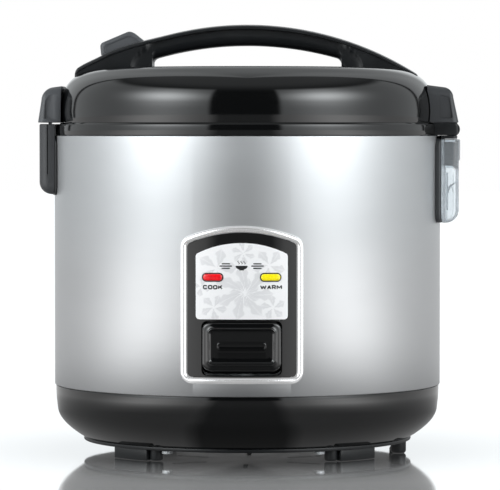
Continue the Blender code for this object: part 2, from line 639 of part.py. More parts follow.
def make_handle():
    """The fixed carrying arch over the lid, with a pocket for the release button."""
    steps = 16
    top = [handle_point(HANDLE_HALF * (1 - 2 * i / steps)) for i in range(steps + 1)]
    grip = []
    for i in range(9):
        x = -0.0585 + 2 * 0.0585 * i / 8
        grip.append((x, GRIP_TOP - GRIP_R + math.sqrt(GRIP_R ** 2 - x ** 2)))
    outline = top + [(-0.1120, 0.2405), (-0.1060, 0.2400), (-GRIP_HALF, 0.2450), (-GRIP_HALF, 0.2505)]
    outline += grip + [(GRIP_HALF, 0.2505), (GRIP_HALF, 0.2450), (0.1060, 0.2400), (0.1120, 0.2405)]
    handle = extruded("lid_handle", outline, -HANDLE_WIDE, HANDLE_WIDE, "black_satin")
    pocket = extruded("button_pocket", [button_place(*p) for p in (
        (-0.0149, 0.02), (-0.0149, -0.0098), (0.0144, -0.0098), (0.0144, 0.02))], -0.0126, 0.0126, None)
    shaft = extruded("stem_shaft", [button_place(*p) for p in (
        (-0.0118, 0.01), (-0.0118, -0.03), (-0.0042, -0.03), (-0.0042, 0.01))], -0.0050, 0.0050, None)
    return cut(handle, lid_cutter("handle_seat"), pocket, shaft)


def make_button():
    """The lid release button with its stem, and the spring under it.

    Its underside slopes with the lid's top, which it comes close to when it is pressed."""
    outline = [button_place(*p) for p in (
        (-0.0145, -0.0021), (-0.0145, 0.0030), (-0.0124, 0.0080), (-0.0100, 0.0095), (0.0084, 0.0095),
        (0.0112, 0.0077), (0.0140, 0.0012), (0.0140, -0.0050), (-0.0046, -0.0050), (-0.0046, STEM_END),
        (-0.0114, STEM_END), (-0.0114, -0.0033))]
    cap = extruded("release_button", outline, -BUTTON_HALF, BUTTON_HALF, "black_satin")
    for i, side in enumerate((-1, 1)):
        trim = [button_place(*p) for p in (
            (-0.0200, -0.0003), (-0.0070, -0.0053), (0.0200, -0.0053), (0.0200, -0.0300), (-0.0200, -0.0300))]
        low, high = sorted((side * STEM_HALF, side * 0.0300))
        cut(cap, extruded(f"stem_trim_{i}", trim, low, high, None))
    x, z = button_place(0.0040, -0.0092)
    lean = math.asin(BUTTON_X / HANDLE_R)
    coil("button_spring", (x, 0, z), (math.sin(lean), 0, math.cos(lean)), 0.0036, 0.0032, 0.0006, 3, "steel")
    return cap


def make_latch():
    """The latch lever, from the pad under the button's stem to the hook, and its pin and cover."""
    lever = extruded("latch_lever", [
        (-0.1290, 0.2020), (-0.1266, 0.2030), (-0.1266, 0.2048), (-0.1274, 0.2056), (-0.1274, 0.2252),
        (-0.1180, 0.2262), (-0.0860, 0.2352), (-0.0760, 0.2354), (-0.0760, 0.2378), (-0.0860, 0.2378),
        (-0.1200, 0.2308), (-0.1276, 0.2308), (-0.1290, 0.2296)], -0.0050, 0.0050, "zinc_sheet")
    cut(lever, rod("lever_hole", (LATCH.x, -0.01, LATCH.z), (LATCH.x, 0.01, LATCH.z), 0.0012 + GAP, None))
    rod("latch_pin", (LATCH.x, -0.0105, LATCH.z), (LATCH.x, 0.0105, LATCH.z), 0.0012, "steel")
    face = 0.1342
    outline = [(-0.1100, LID_LOW), (-face, LID_LOW)]
    outline += bezier((-face + 0.0012, 0.2240), (-0.1318, 0.2320), (-0.1235, 0.2338), 5) + [(-0.1100, 0.2372)]
    cover = extruded("latch_cover", outline, -BLOCK_HALF, BLOCK_HALF, "black_satin")
    room = box("lever_room", (-0.1318, -0.0060, 0.2000), (-0.1150, 0.0060, 0.2318), None)
    hole = rod("latch_pin_hole", (LATCH.x, -0.0110, LATCH.z), (LATCH.x, 0.0110, LATCH.z), 0.0012 + GAP, None)
    return cut(cover, lid_cutter("latch_seat"), room, hole)


def make_hinge():
    """The lid's half of the hinge: knuckle, steel pin, spring and the cover over them."""
    barrel = arc((HINGE.x, HINGE.z), BARREL_R, 50, -200, 12)
    outline = barrel + [(0.1262, 0.2108), (0.1262, 0.2130), (0.1140, 0.2130), (0.1140, 0.2180),
                        (0.1320, 0.2180), (0.1352, 0.2150)]
    knuckle = extruded("lid_knuckle", outline, -0.0205, 0.0205, "black_satin")
    spring_room = hinge_bar("spring_room", 0.0070, 0.0038, None, 16)
    cut(knuckle, spring_room, hinge_bar("knuckle_bore", 0.0300, PIN_R + GAP, None))
    hinge_bar("hinge_pin", 0.0285, PIN_R, "steel")
    coil("hinge_spring", (HINGE.x, -0.0062, HINGE.z), (0, 1, 0), 0.0124, 0.0026, 0.0009, 6, "steel")
    face = 0.1360
    outline = [(0.1080, 0.2125), (face, 0.2125), (face - 0.0008, 0.2190)]
    outline += bezier((0.1348, 0.2255), (0.1342, 0.2310), (0.1295, 0.2325), 4) + [(0.1080, 0.2385)]
    cover = extruded("hinge_cover", outline, -BLOCK_HALF, BLOCK_HALF, "black_satin")
    room = box("knuckle_room", (0.1100, -0.0209, 0.2000), (0.1357, 0.0209, 0.2184), None)
    return cut(cover, lid_cutter("hinge_seat"), room)


def make_lid_inside():
    """The lid's liner, detachable inner lid, seal, retaining button and the steam vent's seat and cap."""
    liner = turned("lid_liner", [
        (0.0035, 0.2185), (0.1000, 0.2185), (0.1030, 0.2125), (0.1188, 0.2125), (0.1188, 0.2145),
        (0.1040, 0.2145), (0.1010, 0.2205), (0.0035, 0.2205)], "black_satin")
    cut(liner, box("liner_notch", (0.1100, -0.0212, 0.2000), (0.1300, 0.0212, 0.2300), None),
        rod("liner_steam_hole", (VENT.x, VENT.y, 0.2100), (VENT.x, VENT.y, 0.2300), 0.0060, None))
    turned("inner_lid", [
        (0.0035, 0.2150), (0.0900, 0.2150), (0.1000, 0.2095), (0.1085, 0.2095), (0.1085, 0.2103),
        (0.1006, 0.2103), (0.0906, 0.2160), (0.0035, 0.2160)], "aluminium")
    turned("lid_gasket", [
        (0.1030, 0.2079), (0.1110, 0.2079), (0.1120, 0.2088), (0.1120, 0.2106), (0.1106, 0.2112),
        (0.1089, 0.2108), (0.1089, 0.2092), (0.1030, 0.2092)], "silicone")
    turned("lid_retainer", [
        (0.0, 0.2125), (0.0080, 0.2130), (0.0095, 0.2140), (0.0095, 0.2147), (0.0031, 0.2147),
        (0.0031, 0.2208), (0.0060, 0.2208), (0.0055, 0.2225), (0.0, 0.2230)], "silicone", SMALL_SEGMENTS)
    place = (VENT.x, VENT.y)
    turned("vent_seat", [
        (0.0060, 0.2208), (VENT_R - 0.0004, 0.2208), (VENT_R - 0.0004, 0.2450), (VENT_R - 0.0018, 0.2450),
        (VENT_R - 0.0018, 0.2224), (0.0060, 0.2224)], "silicone", SMALL_SEGMENTS, centre=place)
    cap = turned("vent_cap", [
        (0.0, 0.2464), (0.0165, 0.2464), (0.0165, 0.2300), (0.0180, 0.2300), (0.0180, 0.2460),
        (VENT_R, 0.2460), (VENT_R, 0.2474), (VENT_R - 0.0010, 0.2480), (0.0, 0.2482)],
        "black_satin", SMALL_SEGMENTS, centre=place)
    for i, y in enumerate((-0.0050, 0.0, 0.0050)):
        low = (VENT.x - 0.0070, VENT.y + y - 0.0007, 0.2400)
        high = (VENT.x + 0.0070, VENT.y + y + 0.0007, 0.2600)
        cut(cap, box(f"steam_slot_{i}", low, high, None))


# Moving pieces

def joint_axes():
    """Each joint axis as (a point on it, the axis that carries it, the pieces that move with it)."""
    button_x, button_z = button_place(0.0, 0.0)
    return {
        "lid_axis": (HINGE, None, (
            "lid_shell", "lid_handle", "latch_cover", "latch_pin", "lid_knuckle", "hinge_cover",
            "hinge_spring", "lid_liner", "inner_lid", "lid_gasket", "lid_retainer", "vent_seat",
            "button_spring")),
        "button_axis": (Vector((button_x, 0.0, button_z)), "lid_axis", ("release_button",)),
        "latch_axis": (LATCH, "lid_axis", ("latch_lever",)),
        "vent_axis": (VENT, "lid_axis", ("vent_cap",)),
        "lever_axis": (LEVER, None, ("switch_arm", "switch_paddle")),
        "thermostat_axis": (THERMOSTAT, None, ("sensor_cap", "sensor_ferrite", "lower_magnet")),
        "dew_cup_axis": (DEW_CUP, None, ("dew_cup",)),
    }


def hang_moving_pieces():
    """Parents every moving piece to an empty on its joint's axis, and leaves it where it is."""
    axes = joint_axes()
    for name, (place, carrier, pieces) in axes.items():
        empty = bpy.data.objects.new(name, None)
        bpy.context.scene.collection.objects.link(empty)
        empty.location = place
        if carrier:
            empty.parent = bpy.data.objects[carrier]
            empty.location = place - axes[carrier][0]
        for piece in pieces:
            obj = bpy.data.objects[piece]
            obj.parent = empty
            obj.location = -place


def main():
    clear_scene()
    make_materials()
    make_jacket()
    make_base_shell()
    make_bottom_plate()
    make_base_screws()
    make_upper_ring()
    make_chamber()
    make_heating_plate()
    make_thermostat()
    make_switch()
    make_panel()
    make_pot()
    make_power_inlet()
    make_wiring()
    make_latch_housing()
    make_dew_collector()
    make_lid_shell()
    make_handle()
    make_button()
    make_latch()
    make_hinge()
    make_lid_inside()
    hang_moving_pieces()


main()
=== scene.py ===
"""The looks of the rice cooker: fine surfaces, materials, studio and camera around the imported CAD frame.

Metres, +Z up, -Y towards the camera. The lid's hinge is at +X and its latch at -X.
"""

import json
import math

import bmesh
import bpy
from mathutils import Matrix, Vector


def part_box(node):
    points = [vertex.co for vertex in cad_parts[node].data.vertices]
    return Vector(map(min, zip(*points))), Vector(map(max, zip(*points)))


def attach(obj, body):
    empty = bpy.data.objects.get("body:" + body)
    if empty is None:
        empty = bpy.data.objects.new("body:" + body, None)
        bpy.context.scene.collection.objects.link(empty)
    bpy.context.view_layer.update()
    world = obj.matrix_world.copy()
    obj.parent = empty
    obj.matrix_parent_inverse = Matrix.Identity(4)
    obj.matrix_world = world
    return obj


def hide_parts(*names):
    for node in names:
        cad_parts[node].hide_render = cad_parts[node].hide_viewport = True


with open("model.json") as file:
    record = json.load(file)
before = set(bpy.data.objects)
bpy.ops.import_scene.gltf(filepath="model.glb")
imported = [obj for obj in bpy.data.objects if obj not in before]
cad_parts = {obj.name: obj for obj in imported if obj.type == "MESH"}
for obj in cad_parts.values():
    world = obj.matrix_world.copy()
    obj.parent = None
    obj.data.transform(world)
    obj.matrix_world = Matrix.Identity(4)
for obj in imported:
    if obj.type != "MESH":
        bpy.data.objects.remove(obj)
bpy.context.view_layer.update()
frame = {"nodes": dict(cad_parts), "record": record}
SLOT_OF = {part["node"]: part["material_slot"] for part in frame["record"]["subparts"]}

# Driving sizes, read from the frame
BODY_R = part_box("outer_jacket")[1].x
JACKET_LOW, JACKET_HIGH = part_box("outer_jacket")[0].z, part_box("outer_jacket")[1].z
BASE_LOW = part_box("base_shell")[0].z
RING_LOW, RING_HIGH = JACKET_HIGH + 0.0003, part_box("upper_ring")[1].z
LID_LOW, LID_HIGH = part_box("lid_shell")[0].z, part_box("lid_shell")[1].z
LID_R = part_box("lid_shell")[1].x
BEAD_HIGH = LID_LOW - 0.0001    # the collar's upstand, just below the lid
HANDLE_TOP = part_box("lid_handle")[1].z
PANEL_LOW, PANEL_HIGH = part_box("panel_frame")[0].z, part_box("panel_frame")[1].z
PADDLE_LOW, PADDLE_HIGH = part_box("switch_paddle")[0].z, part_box("switch_paddle")[1].z
HINGE = (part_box("hinge_pin")[0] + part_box("hinge_pin")[1]) / 2
VENT = (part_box("vent_cap")[0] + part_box("vent_cap")[1]) / 2
BLOCK_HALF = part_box("latch_housing")[1].y

# Sizes of the fine surfaces
RING_R = 0.1246
SHEET = 0.0008          # jacket steel
WALL = 0.0022           # moulded walls
HANDLE_R = 0.2050       # the handle's top line
GRIP_R = 0.2150         # the finger gap's arch
GRIP_TOP = 0.2619
GRIP_HALF = 0.0610      # half the finger gap
GRIP_ROUND = 0.0030     # where the finger gap turns down into the webs
HANDLE_HALF = 0.1110
HANDLE_WIDE = 0.0182
TIP = 0.0019            # length of the handle's round ends
BUTTON_X = -0.0800      # middle of the release button
BUTTON_LEAN = math.asin(BUTTON_X / HANDLE_R)
BUTTON_HALF = 0.0122
BLOCK_TOP = 0.2336      # top of the latch and hinge blocks on the lid
BLOCK_SLOPE = 0.13      # rise of those tops towards the lid
PIN_BORE = 0.0018
KNUCKLE_ROOM = 0.0215   # half the room for the knuckle between the hinge ears
PANEL_HALF = 0.0379
PANEL_CROWN = 0.0880    # radius of the panel's arched top
BEZEL = 0.0039          # the bright frame's width
FIT = 0.0003            # gap behind and round the pieces fixed to the jacket
PADDLE_HALF = 0.0240
LABEL_BACK, LABEL_FACE = 0.0019, 0.0023     # out from the jacket
INK_BACK, INK_FACE = 0.00233, 0.00238
ROUND = 256             # facets round the large turned pieces
LID_ROUND = 192         # facets round the pieces inside the lid
SMALL_ROUND = 72
ACROSS = 28             # points along the level sides of a bent outline
CORNER_STEPS = 7        # and round each of its corners

# The studio, in degrees: (start, end) of a soft edge, or (middle, spread) of a bright spot
BOX_NEAR, BOX_FAR = (19.5, 23.5), (128.0, 131.0)
BOX_TOP = (38.0, 46.0)
HOT_AROUND, HOT_UP = (52.0, 21.0), (23.0, 10.0)
BACK_FROM, REAR_FROM = (131.5, 134.5), (150.0, 172.0)
CEILING_FROM = (34.0, 64.0)
SWEEP_FROM, SWEEP_TOP = (160.0, 170.0), (12.0, 24.0)
BOX_GLOW = 0.72         # the soft boxes away from their middles
BOX_MIDDLE = 1.1        # added down their middles
BOX_HOT = 5.2           # added in their hottest spots
BACK_GLOW = 0.75
REAR_GLOW = -0.30       # less again, right behind the object
CEILING_GLOW = 0.32
SWEEP_GLOW = 0.6
GAP_GLOW = 0.03         # everywhere
FLOOR_HOT_AROUND = (56.0, 23.0)
FLOOR_HOT = 1.60        # light from the far floor under the soft boxes
FLOOR_GLOW = 0.36       # light from the rest of the far floor
FLOOR_FILL = 0.24       # light that the floor sends up, however the object shades it
FLOOR_SEEN = 0.20       # painted light added to the floor where the camera sees it, only away from the object, leaving a painted contact shadow close by
WHITE = (1.0, 1.0, 1.0)
DEGREES = 180 / math.pi

CAMERA_DISTANCE = 2.212
CAMERA_HEIGHT = 0.208
CAMERA_SWING, CAMERA_PAN, CAMERA_PITCH = 1.6, 0.044, 1.952
CAMERA_LENS, CAMERA_SENSOR = 245.1, 36.0


# Mesh helpers

def piece(name, bm, material, body, *nodes, slot=None, sharp=32.0):
    """Makes a shown piece of the object: it rides on a body and stands for the CAD nodes it is given."""
    bmesh.ops.remove_doubles(bm, verts=bm.verts, dist=1e-7)
    bmesh.ops.recalc_face_normals(bm, faces=bm.faces)
    mesh = bpy.data.meshes.new(name)
    bm.to_mesh(mesh)
    bm.free()
    mesh.shade_smooth()
    mesh.set_sharp_from_angle(angle=math.radians(sharp))
    obj = bpy.data.objects.new(name, mesh)
    bpy.context.scene.collection.objects.link(obj)
    if material:
        mesh.materials.append(material)
    if body:
        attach(obj, body)
    if nodes:
        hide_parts(*nodes)
    return obj


def tool(bm):
    """A shape that only cuts or joins others."""
    return piece("tool", bm, None, None)


def settle(obj, sharp=32.0):
    """Applies the modifiers of obj to its mesh."""
    bpy.context.view_layer.update()
    graph = bpy.context.evaluated_depsgraph_get()
    mesh = bpy.data.meshes.new_from_object(obj.evaluated_get(graph))
    obj.modifiers.clear()
    old = obj.data
    obj.data = mesh
    bpy.data.meshes.remove(old)
    mesh.shade_smooth()
    mesh.set_sharp_from_angle(angle=math.radians(sharp))
    return obj


def carve(obj, *tools, how="DIFFERENCE", sharp=32.0):
    """Cuts the tools from obj, or joins them to it, and removes them."""
    for other in tools:
        modifier = obj.modifiers.new("boolean", "BOOLEAN")
        modifier.operation = how
        modifier.solver = "EXACT"
        modifier.object = other
    settle(obj, sharp)
    for other in tools:
        bpy.data.objects.remove(other)
    return obj


def soften(obj, width, segments=3, angle=40.0, sharp=32.0):
    """Rounds the edges sharper than angle."""
    modifier = obj.modifiers.new("bevel", "BEVEL")
    modifier.width = width
    modifier.segments = segments
    modifier.limit_method = "ANGLE"
    modifier.angle_limit = math.radians(angle)
    return settle(obj, sharp)


def loft(rings, around=True, loop=False, caps=True):
    """A surface through rings of equally many points.

    around closes each ring, loop joins the last ring to the first, and caps fills both ends.
    """
    bm = bmesh.new()
    grid = [[bm.verts.new(p) for p in ring] for ring in rings]
    pairs = list(zip(grid, grid[1:]))
    if loop:
        pairs.append((grid[-1], grid[0]))
    for a, b in pairs:
        count = len(a)
        for i in range(count if around else count - 1):
            j = (i + 1) % count
            bm.faces.new((a[i], a[j], b[j], b[i]))
    if caps and around and not loop:
        bm.faces.new(grid[0])
        bm.faces.new(grid[-1][::-1])
    return bm


def fillet(points, radius, steps=4, closed=True):
    """Rounds the corners of a flat outline. radius is one number, or one for each point."""
    count = len(points)
    radii = radius if isinstance(radius, (list, tuple)) else [radius] * count
    made = []
    for i, (point, r) in enumerate(zip(points, radii)):
        here = Vector(point)
        if r <= 0 or (not closed and i in (0, count - 1)):
            made.append(tuple(here))
            continue
        before = Vector(points[i - 1]) - here
        after = Vector(points[(i + 1) % count]) - here
        half = before.angle(after) / 2
        if half > 1.54:
            made.append(tuple(here))
            continue
        cut = min(r / math.tan(half), before.length * 0.48, after.length * 0.48)
        centre = here + (before.normalized() + after.normalized()).normalized() * (cut / math.cos(half))
        start = here + before.normalized() * cut - centre
        end = here + after.normalized() * cut - centre
        reach, sweep = start.length, start.angle(end)
        for k in range(steps + 1):
            share = k / steps
            spoke = start * math.sin((1 - share) * sweep) + end * math.sin(share * sweep)
            made.append(tuple(centre + spoke.normalized() * reach))
    return made


def rect(x0, y0, x1, y1):
    """The corners of a flat rectangle, from two opposite ones."""
    return [(x0, y0), (x1, y0), (x1, y1), (x0, y1)]


def circle(radius, count):
    """Points evenly round the origin."""
    angles = [math.tau * i / count for i in range(count)]
    return [(radius * math.cos(a), radius * math.sin(a)) for a in angles]


def arc(centre, radius, start_deg, end_deg, steps):
    points = []
    for i in range(steps + 1):
        a = math.radians(start_deg + (end_deg - start_deg) * i / steps)
        points.append((centre[0] + radius * math.cos(a), centre[1] + radius * math.sin(a)))
    return points


def bezier(start, control, end, steps):
    points = []
    for i in range(steps + 1):
        t = i / steps
        points.append(tuple((1 - t) ** 2 * a + 2 * t * (1 - t) * b + t * t * c
                            for a, b, c in zip(start, control, end)))
    return points


def smooth(value, low, high):
    """0 below low, 1 above high, and an even curve between."""
    t = min(max((value - low) / (high - low), 0.0), 1.0)
    return t * t * (3 - 2 * t)


def turn(profile, segments=ROUND, centre=(0.0, 0.0), closed=True):
    """A closed profile of (radius, height) turned about a vertical axis."""
    rings = []
    for radius, height in profile:
        round_points = circle(max(radius, 1e-6), segments)
        rings.append([(centre[0] + x, centre[1] + y, height) for x, y in round_points])
    return loft(rings, loop=closed, caps=not closed)


def column(radius, low, high, centre=(0.0, 0.0), segments=SMALL_ROUND):
    """A plain column, for cutting."""
    return tool(turn([(radius, low), (radius, high)], segments, centre, closed=False))


def block(low, high):
    """A plain block, for cutting."""
    return tool(loft(flat(rect(low[0], low[1], high[0], high[1]), low[2], high[2])))


def flat(outline, low, high):
    """An outline of (x, y) at two heights, as the rings of a prism."""
    return [[(x, y, z) for x, y in outline] for z in (low, high)]


def along_y(outline, low, high):
    """An outline of (x, z) extruded along Y."""
    return loft([[(x, y, z) for x, z in outline] for y in (low, high)])


def rod_y(centre, low, high, radius):
    """A round bar along Y through a centre of (x, z), for cutting."""
    outline = [(centre[0] + x, centre[1] + z) for x, z in circle(radius, 32)]
    return tool(along_y(outline, low, high))


def hinge_rod(half, radius):
    """A round bar on the hinge's axis, for cutting."""
    return rod_y((HINGE.x, HINGE.z), -half, half, radius)


# Shapes bent round the jacket: u round the body, z up, h out from the jacket's surface

def bend(u, z, h, side_deg=0.0):
    """The point at (u, z, h). side_deg moves u = 0 round from the front."""
    angle = u / BODY_R + math.radians(side_deg)
    radius = BODY_R + h
    return radius * math.sin(angle), -radius * math.cos(angle), z


def rect_loop(half, low, high, radius, across=ACROSS):
    """A round-cornered rectangle as one loop, with points along its level sides so that it can be bent."""
    inner = half - radius
    points = []
    for cx, cz, start in ((inner, low + radius, -90), (inner, high - radius, 0),
                          (-inner, high - radius, 90), (-inner, low + radius, 180)):
        points += arc((cx, cz), radius, start, start + 90, CORNER_STEPS)
        if start == 0:
            points += [(inner - 2 * inner * i / across, high) for i in range(1, across)]
        if start == 180:
            points += [(-inner + 2 * inner * i / across, low) for i in range(1, across)]
    return points


def arch_loop(half, low, high, crown, radius):
    """An outline as one loop: round corners, a level foot and an arched top."""
    side = half - radius
    centre = high - crown
    corner_z = centre + math.sqrt((crown - radius) ** 2 - side ** 2)
    lean = math.degrees(math.atan2(corner_z - centre, side))
    points = arc((side, low + radius), radius, -90, 0, CORNER_STEPS)
    points += arc((side, corner_z), radius, 0, lean, CORNER_STEPS)
    points += arc((0, centre), crown, lean, 180 - lean, ACROSS)[1:-1]
    points += arc((-side, corner_z), radius, 180 - lean, 180, CORNER_STEPS)
    points += arc((-side, low + radius), radius, 180, 270, CORNER_STEPS)
    points += [(-side + 2 * side * i / ACROSS, low) for i in range(1, ACROSS)]
    return points


def stepped(outline, steps):
    """Loops of one outline, from pairs of (inset, height out from the jacket)."""
    return [(outline(inset), h) for inset, h in steps]


def bent_loops(loops, side_deg=0.0, shift=0.0, fill=True):
    """Joins loops of (points, height) into one closed bent solid, and fills its first and last loop."""
    rings = [[bend(u + shift, z, h, side_deg) for u, z in points] for points, h in loops]
    if not fill:
        return loft(rings, loop=True)
    bm = loft(rings, caps=False)
    bm.verts.ensure_lookup_table()
    count = len(rings[0])
    for index in (0, len(rings) - 1):
        verts = [bm.verts[index * count + i] for i in range(count)]
        fill_columns(bm, verts, loops[index][0])
    return bm


def fill_columns(bm, verts, points):
    """Fills a loop that is symmetric about u = 0 with strips from its upper to its lower side."""
    count = len(verts)
    start = max(range(count), key=lambda i: (round(points[i][0], 7), points[i][1]))
    upper, lower = start, (start - 1) % count
    while upper != lower:
        up_next, low_next = (upper + 1) % count, (lower - 1) % count
        if up_next == lower:
            break
        if low_next == up_next:
            bm.faces.new((verts[upper], verts[up_next], verts[lower]))
            break
        bm.faces.new((verts[upper], verts[up_next], verts[low_next], verts[lower]))
        upper, lower = up_next, low_next


# Shaders

class Graph:
    """A short way to write shader nodes."""

    def __init__(self, tree):
        self.nodes = tree.nodes
        self.link = tree.links.new

    def put(self, value, socket):
        """Sets a socket to a number or a colour, or links another socket to it."""
        if isinstance(value, bpy.types.NodeSocket):
            self.link(value, socket)
        elif isinstance(value, tuple):
            socket.default_value = (*value, 1.0)
        else:
            socket.default_value = value

    def calc(self, how, first, second=0.0, third=0.0):
        node = self.nodes.new("ShaderNodeMath")
        node.operation = how
        for value, socket in zip((first, second, third), node.inputs):
            self.put(value, socket)
        return node.outputs["Value"]

    def range(self, value, low, high, to_low=0.0, to_high=1.0, how="LINEAR"):
        node = self.nodes.new("ShaderNodeMapRange")
        node.interpolation_type = how
        for key, number in (("From Min", low), ("From Max", high), ("To Min", to_low), ("To Max", to_high)):
            node.inputs[key].default_value = number
        self.link(value, node.inputs["Value"])
        return node.outputs["Result"]

    def step(self, value, edge, before=0.0, after=1.0):
        """A soft step across an edge of (start, end)."""
        return self.range(value, *edge, before, after, how="SMOOTHSTEP")

    def bell(self, value, middle, spread):
        offset = self.calc("DIVIDE", self.calc("SUBTRACT", value, middle), spread)
        return self.calc("EXPONENT", self.calc("MULTIPLY", self.calc("MULTIPLY", offset, offset), -1.0))

    def split(self, vector):
        node = self.nodes.new("ShaderNodeSeparateXYZ")
        self.link(vector, node.inputs["Vector"])
        return node.outputs["X"], node.outputs["Y"], node.outputs["Z"]

    def around(self, x, y):
        """Degrees round from the front, the same to the left and to the right."""
        angle = self.calc("ARCTAN2", x, self.calc("MULTIPLY", y, -1.0))
        return self.calc("MULTIPLY", self.calc("ABSOLUTE", angle), DEGREES)

    def camera_ray(self):
        return self.nodes.new("ShaderNodeLightPath").outputs["Is Camera Ray"]


class Shader(Graph):
    """A material with a Principled shader and procedural patterns."""

    def __init__(self, name, color, **values):
        self.material = bpy.data.materials.new(name)
        self.material.use_nodes = True
        super().__init__(self.material.node_tree)
        self.inputs = self.nodes["Principled BSDF"].inputs
        self.put(color, self.inputs["Base Color"])
        for key, value in values.items():
            self.put(value, self.inputs[key.replace("_", " ").title().replace("Ior", "IOR")])
        self.coords = self.nodes.new("ShaderNodeTexCoord").outputs["Object"]

    def noise(self, scale, stretch=(1, 1, 1), detail=3.0):
        mapping = self.nodes.new("ShaderNodeMapping")
        mapping.inputs["Scale"].default_value = stretch
        self.link(self.coords, mapping.inputs["Vector"])
        noise = self.nodes.new("ShaderNodeTexNoise")
        for key, number in (("Scale", scale), ("Detail", detail), ("Roughness", 0.55)):
            noise.inputs[key].default_value = number
        self.link(mapping.outputs["Vector"], noise.inputs["Vector"])
        return noise.outputs["Fac"]

    def mix(self, factor, first, second):
        node = self.nodes.new("ShaderNodeMix")
        node.data_type = "RGBA"
        self.link(factor, node.inputs[0])
        self.put(first, node.inputs[6])
        self.put(second, node.inputs[7])
        return node.outputs[2]

    def roughness(self, value, low, high):
        self.link(self.range(value, 0.3, 0.7, low, high), self.inputs["Roughness"])

    def tint(self, value, dark, pale):
        self.link(self.mix(self.range(value, 0.35, 0.65), dark, pale), self.inputs["Base Color"])

    def bump(self, height, distance, strength):
        node = self.nodes.new("ShaderNodeBump")
        node.inputs["Distance"].default_value = distance
        node.inputs["Strength"].default_value = strength
        self.link(height, node.inputs["Height"])
        self.link(node.outputs["Normal"], self.inputs["Normal"])

    def glow(self, strength, color=WHITE):
        self.put(color, self.inputs["Emission Color"])
        self.put(strength, self.inputs["Emission Strength"])


def surface(name, color, tint, gloss, relief=None, **values):
    """A material with its own noise for each of three things, written as scale, detail and range.

    tint ranges from a dark to a pale colour and gloss from the lowest to the highest roughness. relief ends
    with its depth and strength.
    """
    s = Shader(name, color, **values)
    effects = [(tint, s.tint), (gloss, s.roughness)]
    if relief:
        effects.append((relief, s.bump))
    for (scale, detail, low, high), effect in effects:
        effect(s.noise(scale, detail=detail), low, high)
    return s


def shaded(color, share):
    return tuple(min(c * share, 1.0) for c in color)


def brushed_steel():
    """Satin stainless sheet, brushed round the body, with faint lengthwise streaks in its gloss."""
    s = Shader("brushed_steel", (0.535, 0.545, 0.555), metallic=1.0, roughness=0.34, anisotropic=0.75)
    tangent = s.nodes.new("ShaderNodeTangent")
    tangent.direction_type = "RADIAL"
    tangent.axis = "Z"
    s.link(tangent.outputs["Tangent"], s.inputs["Tangent"])
    lines = s.noise(1.0, (12.0, 12.0, 5200.0), detail=4.0)
    s.roughness(lines, 0.32, 0.36)
    s.tint(s.noise(14.0, (1, 1, 3)), (0.527, 0.537, 0.547), (0.543, 0.553, 0.563))
    s.bump(lines, 0.000002, 0.20)
    return s.material


def gloss_black():
    """Polished moulded black plastic, with the slight waviness of a large moulding."""
    return surface("gloss_black", (0.0022, 0.00242, 0.00264),
                   (9.0, 3.0, (0.00198, 0.0022, 0.00242), (0.00253, 0.00275, 0.00297)),
                   (260.0, 4.0, 0.055, 0.085), (38.0, 2.0, 0.00002, 0.25), roughness=0.07, ior=1.65).material


def satin_black():
    """Spark-eroded moulded plastic: fine even grain, worn a little smoother in patches."""
    return surface("satin_black", (0.010, 0.011, 0.0125),
                   (35.0, 3.0, (0.0085, 0.0095, 0.0105), (0.0115, 0.013, 0.0145)),
                   (60.0, 5.0, 0.28, 0.38), (2600.0, 2.0, 0.00004, 0.30), roughness=0.34, ior=1.5).material


def grained_black(name, shade):
    """The paler, rougher spark-eroded finish of the blocks, button and bracket; its paler copy is painted
    light.
    """
    color = (shade, shade * 1.06, shade * 1.15)
    return surface(name, color, (35.0, 3.0, shaded(color, 0.93), shaded(color, 1.07)),
                   (60.0, 5.0, 0.40, 0.50), (2600.0, 2.0, 0.00004, 0.35), roughness=0.46, ior=1.5).material


def plated(name, color, low, high, grain=900.0, glow=0.0):
    """Bright metal with a trace of polishing marks; a glow above 0 is painted light, as it is no lamp."""
    s = surface(name, color, (30.0, 3.0, shaded(color, 0.96), shaded(color, 1.03)), (grain, 4.0, low, high),
                (grain * 0.4, 3.0, 0.000004, 0.3), metallic=1.0, roughness=low)
    s.glow(glow)
    return s.material


def nonstick():
    """Dark non-stick coat with pale specks and fine spray texture."""
    s = Shader("nonstick", (0.05, 0.05, 0.053), metallic=0.35, roughness=0.42)
    specks = s.range(s.noise(900.0, detail=1.0), 0.70, 0.74)
    s.link(s.mix(specks, (0.045, 0.045, 0.048), (0.34, 0.34, 0.34)), s.inputs["Base Color"])
    s.roughness(s.noise(500.0), 0.36, 0.46)
    s.bump(s.noise(1500.0), 0.00003, 0.4)
    return s.material


def sheet_metal():
    """Zinc-plated sheet with its faint spangle."""
    return surface("zinc_sheet", (0.52, 0.54, 0.56), (160.0, 1.0, (0.48, 0.50, 0.52), (0.57, 0.59, 0.60)),
                   (160.0, 1.0, 0.33, 0.46), (700.0, 3.0, 0.00001, 0.3), metallic=1.0,
                   roughness=0.40).material


def label_print():
    """Pearl-silver printed film: fine metallic flake, a faint painted glow, and the soft grey print held in
    the mesh.
    """
    s = Shader("label_print", (0.93, 0.93, 0.94), metallic=0.10, roughness=0.36, coat_weight=0.3,
               coat_roughness=0.15)
    # a faint white glow over the whole film: painted light
    s.glow(0.05)
    print_ink = s.nodes.new("ShaderNodeAttribute")
    print_ink.attribute_name = "print"
    flake = s.noise(5200.0, detail=1.0)
    film = s.mix(s.range(flake, 0.3, 0.7), (0.885, 0.885, 0.895), (0.965, 0.965, 0.975))
    s.link(s.mix(print_ink.outputs["Fac"], film, (0.70, 0.70, 0.715)), s.inputs["Base Color"])
    s.roughness(flake, 0.30, 0.38)
    s.bump(flake, 0.000004, 0.3)
    return s.material


